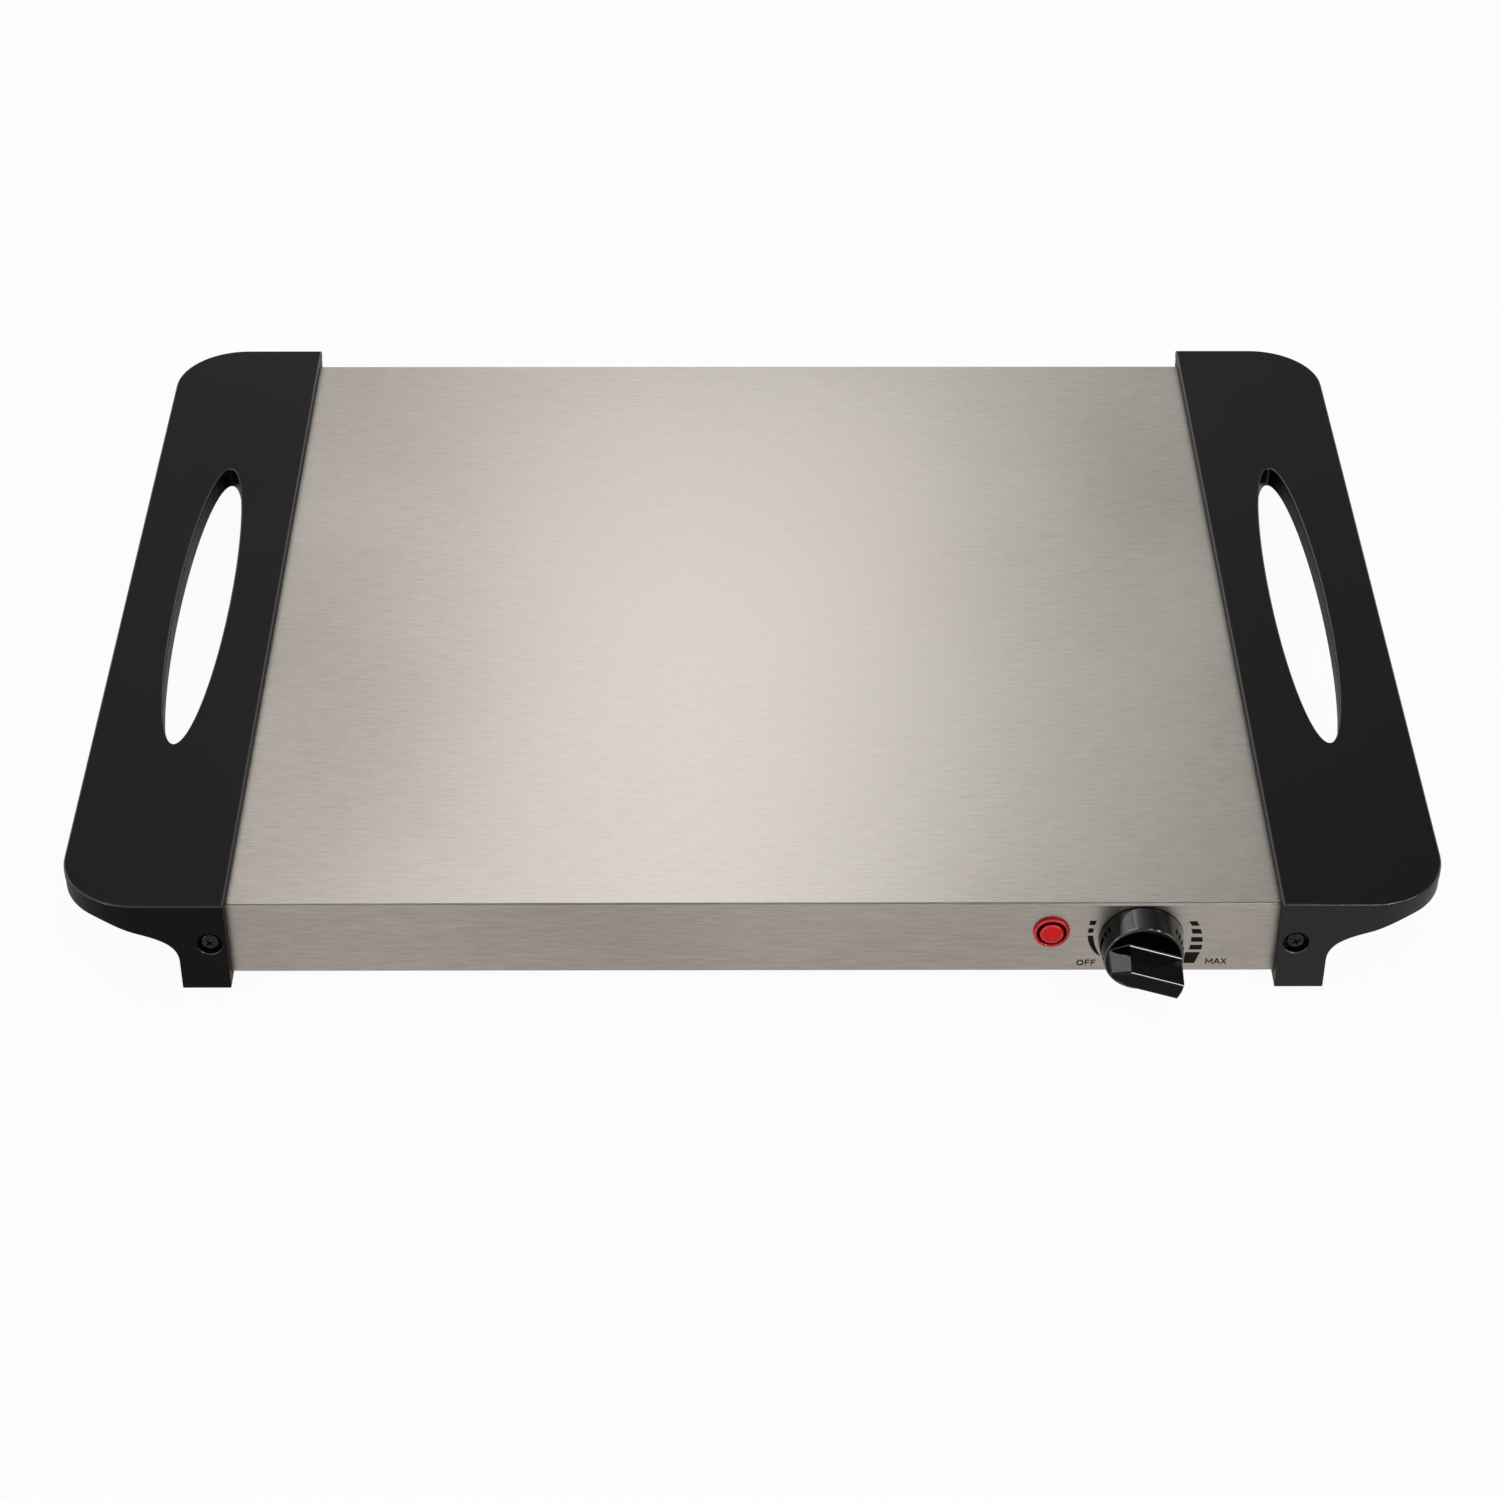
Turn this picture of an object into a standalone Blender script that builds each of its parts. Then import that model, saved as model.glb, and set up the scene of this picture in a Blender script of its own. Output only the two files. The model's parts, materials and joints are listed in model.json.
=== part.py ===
"""Electric food warmer tray: a folded steel tray between two moulded end handles, with its heater inside.

Metres, +Z up. +X is to the right seen from the control side, and +Y runs from that side to the back. The
origin is the middle of the bounding box's floor. Pieces are placed from the tray's own middle, an empty.
"""

from math import asin, atan2, cos, degrees, pi, radians, sin, sqrt, tan

import bmesh
import bpy
from mathutils import Vector
from mathutils.geometry import interpolate_bezier

for old in list(bpy.data.objects):
    bpy.data.objects.remove(old)

# Clearances, and how far a cutter or a joined piece passes its neighbour's face
FIT = 0.0003
OVERRUN = 0.002
BITE = 0.0006
SAME_POINT = 0.000003

# Tray: one folded sheet, open at both ends
TRAY_LENGTH = 0.416
TRAY_DEPTH = 0.3834
TRAY_TOP = 0.036
TRAY_BOTTOM = 0.0029
SHEET = 0.0006
FOLD_RADIUS = 0.0009
LIP_WIDTH = 0.014
END_EASE = 0.0002

# End caps, with how far each covers the steel, reaches out beyond it and stands up above it
CAP_COVER = 0.012
CAP_REACH = 0.0509
CAP_RISE = 0.0045
CAP_PROUD = 0.0062
CAP_CORNER = 0.0297
CAP_WALL = 0.0025
CAP_PLATE = 0.0028
CAP_EDGE = 0.001
CAP_END_WALL = 0.0025
RIM_DEPTH = 0.0086
RIB_WIDTH = 0.0018
RIB_DEPTH = 0.0045
CAP_RIB_SHARES = (-0.78, -0.6, 0.6, 0.78)
GRIP_RIB_SHARES = (-0.7, -0.35, 0.0, 0.35, 0.7)

# Feet, below the ends of the caps, and the curve from foot to rim
FOOT_STEP = 0.0064
FOOT_REACH = 0.014
FOOT_EDGE = 0.0004
SHOULDER_HEIGHT = 0.0135
BROW_RUN = 0.0166
BROW_DROP = 0.0129
BROW_INSET = 0.0124
BROW_SLOPE_SHARE = 1.26
BROW_PULL_SHARES = (0.62, 0.5)

# Finger openings
GRIP_FROM_TRAY = 0.0186
GRIP_HALF_WIDTH = 0.011
GRIP_FROM_FLANGE = 0.0932
GRIP_COLLAR = 0.0022
GRIP_DEPTH = 0.009

# Screws that hold the caps
CAP_SCREW_FROM_END = 0.0055
CAP_SCREW_FROM_TOP = 0.0141
CAP_SCREW_HEAD = 0.0036
CAP_SCREW_HEAD_HEIGHT = 0.0022
CAP_SCREW_SHANK = 0.0019
CAP_SCREW_LENGTH = 0.0095
HEAD_RADIUS_SHARES = (0.7, 1.0)
HEAD_HEIGHT_SHARES = (0.85, 0.3)
RECESS_RADIUS = 0.0048
RECESS_DEPTH = 0.0032

# Base plate, with a pressed panel and vent slots
PANEL_FROM_END = 0.022
PANEL_FROM_FLANGE = 0.0637
PANEL_PRESS = 0.0012
PANEL_SLOPE = 0.003
PANEL_CORNER = 0.018
PLATE_CORNER = 0.003
SLOT_LENGTH = 0.036
SLOT_WIDTH = 0.0036
SLOT_PITCH = 0.022
SLOT_COUNT = 7
SLOT_ROW_SHARE = 0.6

# Screws that hold the base plate on the lips
BASE_SCREW_X_SHARES = (-0.82, 0.82)
BASE_SCREW_HEAD = 0.003
BASE_SCREW_HEAD_HEIGHT = 0.0015
BASE_SCREW_SHANK = 0.0014
BASE_SCREW_LENGTH = 0.0065

# Heater: spreader, serpentine tube with its seals and pins
SPREADER_FROM_END = 0.024
SPREADER_FROM_FLANGE = 0.0577
SPREADER_SHEET = 0.0015
SPREADER_CORNER = 0.012
TUBE_RADIUS = 0.00325
RUN_FROM_FLANGE = 0.0867
RUN_COUNT = 4
RUN_FROM_END = 0.075
TUBE_FROM_END = 0.042
SEAL_RADIUS = 0.0032
SEAL_LENGTH = 0.017
PIN_RADIUS = 0.0012
PIN_LENGTH = 0.026

# Clamp bars, studs and nuts
BAR_FROM_TURN = 0.043
BAR_WIDTH = 0.014
BAR_SHEET = 0.0012
BAR_END = 0.012
BAR_FOLD = 0.001
STUD_RADIUS = 0.002
STUD_END_SPACE = 0.0017
NUT_FLATS = 0.007
NUT_HEIGHT = 0.003

# Board and reflector pan below the tube
BOARD_SHEET = 0.003
BOARD_FROM_END = 0.048
BOARD_FROM_FLANGE = 0.0737
BOARD_CORNER = 0.006
PAN_FROM_END = 0.03
PAN_FROM_FLANGE = 0.0637
PAN_SHEET = 0.0005
PAN_CORNER = 0.01
PAN_FOLD = 0.0015

# Control knob, seen from the front: its skirt, disc, hub and pointer bar
KNOB_FROM_END = 0.0626
KNOB_FROM_TOP = 0.0175
KNOB_SET = radians(18.0)
KNOB_GAP = 0.0005
KNOB_BASE_RADIUS = 0.016
KNOB_FACE_RADIUS = 0.015
KNOB_SKIRT = 0.0112
KNOB_WALL = 0.0021
KNOB_DISC = 0.003
KNOB_EDGE = 0.0012
KNOB_HUB_RADIUS = 0.0052
KNOB_HUB_START = 0.0037
BAR_REACH = 0.0137
BAR_INSET = 0.001
BAR_ROOT_HALF = 0.0049
BAR_FACE_HALF = 0.0036
BAR_ROOT_FILLET = 0.0011
BAR_EDGE = 0.0006
BAR_END_TAPER = 0.0006
POINTER_REACH = 0.0142
POINTER_SHOULDER = 0.0077
POINTER_TIP_HALF = 0.0007

# Spindle and the spring clip on its flat
SPINDLE_RADIUS = 0.003
SPINDLE_FLAT = 0.0021
SPINDLE_BORE_END = 0.011
CLIP_SHEET = 0.00035
CLIP_WIDTH = 0.0022
CLIP_LENGTH = 0.006

# Thermostat behind the front flange
BUSH_RADIUS = 0.00475
BUSH_FRONT = 0.0033
BUSH_BACK = 0.0036
THERMO_NUT_FLATS = 0.014
THERMO_NUT_HEIGHT = 0.0026
FRAME_SHEET = 0.0012
FRAME_LEFT = 0.0125
FRAME_RIGHT = 0.0205
FRAME_HALF_HEIGHT = 0.0095
FRAME_CORNER = 0.002
STACK_OFFSET = 0.014
STACK_RADIUS = 0.005
STACK_RING = 0.005
STACK_SPACER = 0.0025
RIVET_RADIUS = 0.0017
RIVET_HEAD = 0.0032
RIVET_HEAD_HEIGHT = 0.0012
RIVET_CROWN_SHARE = 0.7
BLADE_SHEET = 0.0005
BLADE_HALF_WIDTH = 0.0035
BLADE_TIP = 0.004
BLADE_TAG = 0.0295
BIMETAL_TIP = 0.0115
BIMETAL_TAG = 0.0255
CONTACT_RADIUS = 0.0017
CONTACT_X = 0.001

# Pilot lamp
LAMP_FROM_KNOB = 0.0338
LAMP_FROM_TOP = 0.0134
LAMP_RIM = 0.00695
LAMP_RIM_PROUD = 0.0018
LAMP_RIM_WIDTH = 0.0016
LAMP_DOME = 0.0047
LAMP_DOME_PROUD = 0.0026
LAMP_GROOVE = 0.0009
LAMP_BARREL = 0.0048
LAMP_BARREL_LENGTH = 0.011
LAMP_BORE = 0.0035
LAMP_FACE = 0.0012
NEON_LENGTH = 0.0095
CLIP_RING_WIDTH = 0.0021
CLIP_RING_SHEET = 0.0008

# Thermal fuse in its strap, below the front strip of the tray
FUSE_FROM_END = 0.142
FUSE_FROM_FRONT = 0.03
FUSE_RADIUS = 0.0025
FUSE_HALF_LENGTH = 0.015
FUSE_PIN_RADIUS = 0.0008
FUSE_PIN_LENGTH = 0.006
STRAP_SHEET = 0.0006
STRAP_WIDTH = 0.009
STRAP_FOOT = 0.006
STRAP_FOLD = 0.0006

# Terminal block and earth point, on the base plate's back strip
BLOCK_FROM_END = 0.058
BLOCK_FROM_BACK = 0.032
BLOCK_HALF_LENGTH = 0.012
BLOCK_HALF_DEPTH = 0.009
BLOCK_HEIGHT = 0.013
BLOCK_SHOULDER = 0.0095
BLOCK_RIDGE_HALF = 0.0025
POLE_PITCH = 0.0105
POLE_BORE = 0.0019
POLE_HEIGHT = 0.005
TERMINAL_SCREW = 0.0018
TERMINAL_SCREW_LENGTH = 0.0036
TERMINAL_SCREW_FROM_MIDDLE = 0.0057
EARTH_FROM_END = 0.028
EARTH_FROM_BACK = 0.03
EARTH_RING = 0.004
EARTH_SHEET = 0.0008
EARTH_BARREL = 0.0016
EARTH_BARREL_LENGTH = 0.0038
EARTH_SCREW_HEAD = 0.003
EARTH_SCREW_SHANK = 0.0015

# Bush for the supply lead in the back flange
ENTRY_FROM_TOP = 0.0168
ENTRY_BORE = 0.0038
ENTRY_WAIST = 0.006
ENTRY_COLLAR = 0.0085
ENTRY_COLLAR_THICK = 0.0026
ENTRY_LIP = 0.0074
ENTRY_LIP_THICK = 0.0022

# Inner leads
LEAD_RADIUS = 0.0013
LEAD_STEPS = 2
LEAD_ROUND_STEPS = 2
LEAD_SPREAD = 0.0019
TAG_LEAD_SPREAD = 0.0016
LEAD_STUB = 0.004

# Middle points of the leads: in from the tray's right end, in from its front or back, and up from the floor
SUPPLY_BACK = (
    (0.064, 0.050, 0.011), (0.056, 0.057, 0.014), (0.028, 0.059, 0.014), (0.008, 0.070, 0.012),
    (0.005, 0.092, 0.010),
)
SUPPLY_FRONT = (
    (0.005, 0.092, 0.010), (0.010, 0.057, 0.020), (0.033, 0.042, 0.023), (0.078, 0.044, 0.025),
    (0.118, 0.045, 0.028), (0.152, 0.044, 0.030), (0.167, 0.040, 0.0315), (0.173, 0.034, 0.0318),
)
FUSE_FRONT = (
    (0.113, 0.030, 0.031), (0.098, 0.028, 0.029), (0.058, 0.028, 0.028), (0.042, 0.025, 0.026),
    (0.0345, 0.020, 0.021),
)
ELEMENT_FRONT = (
    (0.038, 0.022, 0.0145), (0.036, 0.032, 0.013), (0.028, 0.045, 0.014), (0.018, 0.060, 0.019),
    (0.0115, 0.074, 0.026), (0.0085, 0.082, 0.0288),
)
RETURN_BACK = (
    (0.0085, 0.086, 0.0290), (0.008, 0.077, 0.0275), (0.015, 0.062, 0.023), (0.034, 0.051, 0.017),
    (0.050, 0.046, 0.0115),
)
LAMP_LIVE_FRONT = (
    (0.083, 0.023, 0.022), (0.058, 0.025, 0.023), (0.043, 0.0225, 0.0215),
)
LAMP_RETURN_FRONT = (
    (0.096, 0.024, 0.016), (0.089, 0.031, 0.010), (0.073, 0.036, 0.0075), (0.033, 0.038, 0.0068),
    (0.016, 0.046, 0.0068), (0.011, 0.062, 0.0068),
)
LAMP_RETURN_BACK = (
    (0.011, 0.072, 0.0068), (0.020, 0.058, 0.0068), (0.041, 0.051, 0.0072), (0.055, 0.046, 0.0086),
)

# How many sides the round shapes have
FINE_SIDES = 36
ROUND_SIDES = 24
PLAIN_SIDES = 18
SMALL_SIDES = 12
TINY_SIDES = 8
CORNER_STEPS = 7
FOLD_STEPS = 3

# Places that follow from the sizes above
END = TRAY_LENGTH / 2
FRONT = -TRAY_DEPTH / 2
BACK = TRAY_DEPTH / 2
CAP_SHOWN_FROM = END - CAP_COVER
CAP_OUTER = END + CAP_REACH
CAP_TOP = TRAY_TOP + CAP_RISE
CAP_HALF_DEPTH = BACK + CAP_PROUD
CAP_SCREW_X = END - CAP_SCREW_FROM_END
CAP_SCREW_Z = TRAY_TOP - CAP_SCREW_FROM_TOP
FOOT_OUTER = END + FOOT_STEP
BROW_START = FOOT_OUTER + BROW_RUN
BROW_HEIGHT = CAP_TOP - BROW_DROP
BROW_END = CAP_OUTER - BROW_INSET
GRIP_X = END + GRIP_FROM_TRAY
GRIP_HALF_LENGTH = BACK - GRIP_FROM_FLANGE
PANEL_HALF_LENGTH = END - PANEL_FROM_END
PANEL_HALF_DEPTH = BACK - PANEL_FROM_FLANGE
SPREADER_HALF_LENGTH = END - SPREADER_FROM_END
SPREADER_HALF_DEPTH = BACK - SPREADER_FROM_FLANGE
BOARD_HALF_LENGTH = END - BOARD_FROM_END
BOARD_HALF_DEPTH = BACK - BOARD_FROM_FLANGE
PAN_HALF_LENGTH = END - PAN_FROM_END
PAN_HALF_DEPTH = BACK - PAN_FROM_FLANGE
RUN_PITCH = (BACK - RUN_FROM_FLANGE) * 2 / (RUN_COUNT - 1)
RUN_HALF_LENGTH = END - RUN_FROM_END
TUBE_END = END - TUBE_FROM_END
BAR_X = RUN_HALF_LENGTH - BAR_FROM_TURN
KNOB_X = END - KNOB_FROM_END
KNOB_Z = TRAY_TOP - KNOB_FROM_TOP
LAMP_X = KNOB_X - LAMP_FROM_KNOB
LAMP_Z = TRAY_TOP - LAMP_FROM_TOP
FUSE_X = END - FUSE_FROM_END
BLOCK_X = END - BLOCK_FROM_END
EARTH_X = END - EARTH_FROM_END
ENTRY_X = BLOCK_X
ENTRY_Z = TRAY_TOP - ENTRY_FROM_TOP
KNOB_REACH = KNOB_GAP + KNOB_SKIRT + BAR_REACH
TRAY_MIDDLE_Y = (KNOB_REACH - CAP_PROUD) / 2
STEEL_UNDERSIDE = TRAY_TOP - SHEET
LIP_TOP = TRAY_BOTTOM + SHEET
PLATE_LOW = LIP_TOP + FIT
PLATE_HIGH = PLATE_LOW + SHEET
SPREADER_HIGH = STEEL_UNDERSIDE - FIT
SPREADER_LOW = SPREADER_HIGH - SPREADER_SHEET
TUBE_Z = SPREADER_LOW - FIT - TUBE_RADIUS
BAR_MIDDLE_Z = SPREADER_LOW - FIT - BAR_SHEET / 2
SADDLE_RADIUS = TUBE_RADIUS + FIT + BAR_SHEET / 2
SADDLE_LOW = TUBE_Z - SADDLE_RADIUS - BAR_SHEET / 2
BOARD_HIGH = SADDLE_LOW - FIT
BOARD_LOW = BOARD_HIGH - BOARD_SHEET
PAN_FLOOR = BOARD_LOW - FIT
PAN_LOW = PAN_FLOOR - PAN_SHEET
PAN_RIM = SPREADER_LOW - FIT
PAN_NUT_HIGH = PAN_LOW - FIT
STUD_LOW = PAN_NUT_HIGH - NUT_HEIGHT - STUD_END_SPACE
STUD_HOLE = STUD_RADIUS + FIT
INNER_FRONT = FRONT + SHEET
RUN_PLACES = [RUN_PITCH * (i - (RUN_COUNT - 1) / 2) for i in range(RUN_COUNT)]
STUD_PLACES = [(x, y) for x in (-BAR_X, BAR_X) for y in (-RUN_PITCH, RUN_PITCH)]
POLE_PLACES = (BLOCK_X - POLE_PITCH / 2, BLOCK_X + POLE_PITCH / 2)


# Outlines

def arc(centre, radius, start, end, steps):
    """Points along an arc, with angles in degrees."""
    turns = [radians(start + (end - start) * i / steps) for i in range(steps + 1)]
    return [(centre[0] + radius * cos(a), centre[1] + radius * sin(a)) for a in turns]


def circle(centre, radius, sides):
    return arc(centre, radius, 0.0, 360.0, sides)[:-1]


def ellipse(centre, half_a, half_b, sides):
    return [(centre[0] + half_a * x, centre[1] + half_b * y) for x, y in circle((0.0, 0.0), 1.0, sides)]


def rectangle(low, high):
    return [(low[0], low[1]), (high[0], low[1]), (high[0], high[1]), (low[0], high[1])]


def rounded_rectangle(half_a, half_b, radius, steps, centre=(0.0, 0.0)):
    points = []
    for start, sign_a, sign_b in ((0.0, 1, 1), (90.0, -1, 1), (180.0, -1, -1), (270.0, 1, -1)):
        corner = (centre[0] + sign_a * (half_a - radius), centre[1] + sign_b * (half_b - radius))
        points += arc(corner, radius, start, start + 90.0, steps)
    return points


def cubic(start, pull_start, pull_end, end, steps):
    """Points along a cubic curve, without its first."""
    points = []
    for i in range(1, steps + 1):
        t = i / steps
        weights = ((1 - t) ** 3, 3 * t * (1 - t) ** 2, 3 * t * t * (1 - t), t ** 3)
        corners = (start, pull_start, pull_end, end)
        points.append(tuple(sum(w * c[k] for w, c in zip(weights, corners)) for k in (0, 1)))
    return points


def folded_strip(path, radii, thickness, steps):
    """Outline of a strip of sheet folded along a path through the middle of its thickness."""
    spine = []
    for i, point in enumerate(path):
        place = Vector(point)
        if i in (0, len(path) - 1):
            other = Vector(path[1]) - place if i == 0 else place - Vector(path[-2])
            spine.append((place, Vector((-other.y, other.x)).normalized()))
            continue
        into = (place - Vector(path[i - 1])).normalized()
        out = (Vector(path[i + 1]) - place).normalized()
        turn = atan2(into.x * out.y - into.y * out.x, into.dot(out))
        side = 1 if turn > 0 else -1
        radius = radii[i - 1]
        normal = Vector((-into.y, into.x))
        centre = place - into * radius * tan(abs(turn) / 2) + normal * radius * side
        for k in range(steps + 1):
            a = turn * k / steps
            across = Vector((normal.x * cos(a) - normal.y * sin(a), normal.x * sin(a) + normal.y * cos(a)))
            bend = centre - across * radius * side
            if (bend - spine[-1][0]).length > SAME_POINT:
                spine.append((bend, across))
    left = [tuple(p + n * thickness / 2) for p, n in spine]
    right = [tuple(p - n * thickness / 2) for p, n in spine]
    return left + right[::-1]


# Solids

def place_in_plane(axis, a, b, t):
    """A point from its two coordinates across an axis and its place along it."""
    return {"X": (t, a, b), "Y": (a, t, b), "Z": (a, b, t)}[axis]


def loft(bm, rings):
    """Skins closed rings of equal length in order, and caps both ends."""
    loops = [[bm.verts.new(point) for point in ring] for ring in rings]
    for first, second in zip(loops, loops[1:]):
        for i in range(len(first)):
            j = (i + 1) % len(first)
            bm.faces.new((first[i], first[j], second[j], second[i]))
    bm.faces.new(loops[0])
    bm.faces.new(loops[-1])


def stack(bm, axis, layers):
    """Lofts outlines, each given with its place along an axis."""
    loft(bm, [[place_in_plane(axis, a, b, t) for a, b in outline] for outline, t in layers])


def prism(bm, outline, axis, low, high):
    stack(bm, axis, [(outline, low), (outline, high)])


def box(bm, low, high):
    prism(bm, rectangle(low, high), "Z", low[2], high[2])


def rod(bm, axis, centre, radius, low, high, sides):
    prism(bm, circle(centre, radius, sides), axis, low, high)


def turned(bm, axis, centre, profile, sides):
    """Spins a profile of (radius, place) points round an axis, closed first if it starts off the axis."""
    points = [Vector(place_in_plane(axis, centre[0] + r, centre[1], t)) for r, t in profile]
    verts = [bm.verts.new(point) for point in points]
    pairs = list(zip(verts, verts[1:]))
    if profile[0][0] > 0:
        pairs.append((verts[-1], verts[0]))
    edges = [bm.edges.new(pair) for pair in pairs]
    origin = Vector(place_in_plane(axis, centre[0], centre[1], 0.0))
    along = Vector(place_in_plane(axis, 0.0, 0.0, 1.0))
    bmesh.ops.spin(bm, geom=verts + edges, cent=origin, axis=along, angle=2 * pi, steps=sides, use_merge=True)
    bmesh.ops.remove_doubles(bm, verts=bm.verts, dist=SAME_POINT)


def mirrored(bm, side):
    """Turns a right-hand shape into a left-hand one where side is -1."""
    if side < 0:
        bmesh.ops.scale(bm, vec=(-1.0, 1.0, 1.0), verts=bm.verts)
    return bm


# Objects and materials

def surface(name, color, roughness, metallic=0.0):
    """A material, with its colour given as the eye sees it, from 0 to 255."""
    linear = [(c / 255) ** 2.2 for c in color]
    made = bpy.data.materials.new(name)
    made.use_nodes = True
    shader = made.node_tree.nodes["Principled BSDF"]
    shader.inputs["Base Color"].default_value = (*linear, 1.0)
    shader.inputs["Roughness"].default_value = roughness
    shader.inputs["Metallic"].default_value = metallic
    made.diffuse_color = (*linear, 1.0)
    return made


def empty(name, place, parent=None):
    held = bpy.data.objects.new(name, None)
    held.location = place
    held.parent = parent
    bpy.context.scene.collection.objects.link(held)
    return held


def piece(name, bm, material, parent):
    """An object with its faces turned out, smooth except along its real edges."""
    bmesh.ops.recalc_face_normals(bm, faces=bm.faces)
    mesh = bpy.data.meshes.new(name)
    bm.to_mesh(mesh)
    bm.free()
    mesh.shade_smooth()
    mesh.set_sharp_from_angle(angle=radians(32.0))
    if material:
        mesh.materials.append(material)
    held = bpy.data.objects.new(name, mesh)
    held.parent = parent
    bpy.context.scene.collection.objects.link(held)
    return held


def copies(name, bm, material, parent, places):
    """Objects that share one mesh, each at its own (x, y, z) and turn about Z."""
    first = piece(f"{name}_1", bm, material, parent)
    others = [bpy.data.objects.new(f"{name}_{i + 2}", first.data) for i in range(len(places) - 1)]
    for held, (x, y, z, turn) in zip([first] + others, places):
        held.location = (x, y, z)
        held.rotation_euler.z = turn
        held.parent = parent
    for held in others:
        bpy.context.scene.collection.objects.link(held)


def shape(target, bm, operation, name):
    """Cuts a shape from an object or joins it on, with a helper object that isn't part of the model."""
    helper = piece(f"{target.name}_{name}", bm, None, target.parent)
    helper.display_type = "WIRE"
    helper.hide_render = True
    step = target.modifiers.new(name, "BOOLEAN")
    step.operation = operation
    step.solver = "EXACT"
    step.object = helper


def cut(target, bm, name):
    shape(target, bm, "DIFFERENCE", name)


def join(target, bm, name):
    shape(target, bm, "UNION", name)


def screw(bm, axis, centre, seat, outward, head, head_height, shank, length, sides):
    """A pan-head screw, from where its head seats and the direction that the head points."""
    shares = zip(HEAD_RADIUS_SHARES, HEAD_HEIGHT_SHARES)
    top = [(head * r, seat + outward * head_height * h) for r, h in shares]
    below = [(shank, seat), (shank, seat - outward * (length - shank)), (0.0, seat - outward * length)]
    turned(bm, axis, centre, [(0.0, seat + outward * head_height)] + top + [(head, seat)] + below, sides)


def hexagon(centre, flats):
    return circle(centre, flats / sqrt(3.0), 6)


def nut(bm, axis, centre, flats, bore, low, high, sides):
    """A hexagon nut: its flats outside, and a bore skinned to them at both faces."""
    outer = []
    step = sides // 6
    corners = hexagon(centre, flats)
    for i in range(6):
        a, b = corners[i], corners[(i + 1) % 6]
        outer += [(a[0] + (b[0] - a[0]) * k / step, a[1] + (b[1] - a[1]) * k / step) for k in range(step)]
    inner = circle(centre, bore, sides)
    ring = [(outer, low), (outer, high), (inner, high), (inner, low)]
    loops = [[bm.verts.new(place_in_plane(axis, a, b, t)) for a, b in outline] for outline, t in ring]
    for first, second in zip(loops, loops[1:] + loops[:1]):
        for i in range(sides):
            j = (i + 1) % sides
            bm.faces.new((first[i], first[j], second[j], second[i]))


# Tray and base

def base_screw_places():
    reach = BACK - SHEET - (LIP_WIDTH - SHEET) / 2
    return [(share * CAP_SHOWN_FROM, side * reach) for side in (-1, 1) for share in BASE_SCREW_X_SHARES]


def ease_covered_ends(bm):
    """Lets the top fall a little towards its two ends, which slide in under the caps."""
    for side in (-1, 1):
        for z in (TRAY_TOP, STEEL_UNDERSIDE):
            level = [face for face in bm.faces if abs(face.calc_center_median().z - z) < SAME_POINT]
            flat = max(level, key=lambda face: face.calc_area())
            line = (side * (CAP_SHOWN_FROM - FIT), 0.0, 0.0)
            geom = [flat] + list(flat.edges) + list(flat.verts)
            bmesh.ops.bisect_plane(bm, geom=geom, plane_co=line, plane_no=(1.0, 0.0, 0.0))
            for corner in bm.verts:
                if abs(corner.co.x - side * END) < SAME_POINT and abs(corner.co.z - z) < SAME_POINT:
                    corner.co.z -= END_EASE


def make_top_tray(tray, material):
    """The warming surface with its two flanges, whose lips turn in below, and the studs welded under it."""
    half = SHEET / 2
    lip_end = BACK - LIP_WIDTH
    path = [
        (lip_end, TRAY_BOTTOM + half),
        (BACK - half, TRAY_BOTTOM + half),
        (BACK - half, TRAY_TOP - half),
        (FRONT + half, TRAY_TOP - half),
        (FRONT + half, TRAY_BOTTOM + half),
        (-lip_end, TRAY_BOTTOM + half),
    ]
    bm = bmesh.new()
    outline = folded_strip(path, [FOLD_RADIUS] * 4, SHEET, FOLD_STEPS)
    prism(bm, outline, "X", -END, END)
    ease_covered_ends(bm)
    top = piece("top_tray", bm, material, tray)

    studs = bmesh.new()
    for place in STUD_PLACES:
        rod(studs, "Z", place, STUD_RADIUS, STUD_LOW, STEEL_UNDERSIDE + SHEET / 2, SMALL_SIDES)
    join(top, studs, "weld_studs")

    holes = bmesh.new()
    inside = INNER_FRONT + OVERRUN
    bush_hole = BUSH_RADIUS + FIT
    rod(holes, "Y", (KNOB_X, KNOB_Z), bush_hole, FRONT - OVERRUN, inside, PLAIN_SIDES)
    rod(holes, "Y", (LAMP_X, LAMP_Z), LAMP_BARREL + FIT, FRONT - OVERRUN, inside, PLAIN_SIDES)
    rod(holes, "Y", (ENTRY_X, ENTRY_Z), ENTRY_WAIST + FIT, -inside, BACK + OVERRUN, PLAIN_SIDES)
    shank_hole = CAP_SCREW_SHANK + FIT
    for x in (-CAP_SCREW_X, CAP_SCREW_X):
        rod(holes, "Y", (x, CAP_SCREW_Z), shank_hole, FRONT - OVERRUN, inside, SMALL_SIDES)
        rod(holes, "Y", (x, CAP_SCREW_Z), shank_hole, -inside, BACK + OVERRUN, SMALL_SIDES)
    for place in base_screw_places():
        rod(holes, "Z", place, BASE_SCREW_SHANK + FIT, TRAY_BOTTOM - OVERRUN, LIP_TOP + OVERRUN, TINY_SIDES)
    cut(top, holes, "holes")


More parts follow.
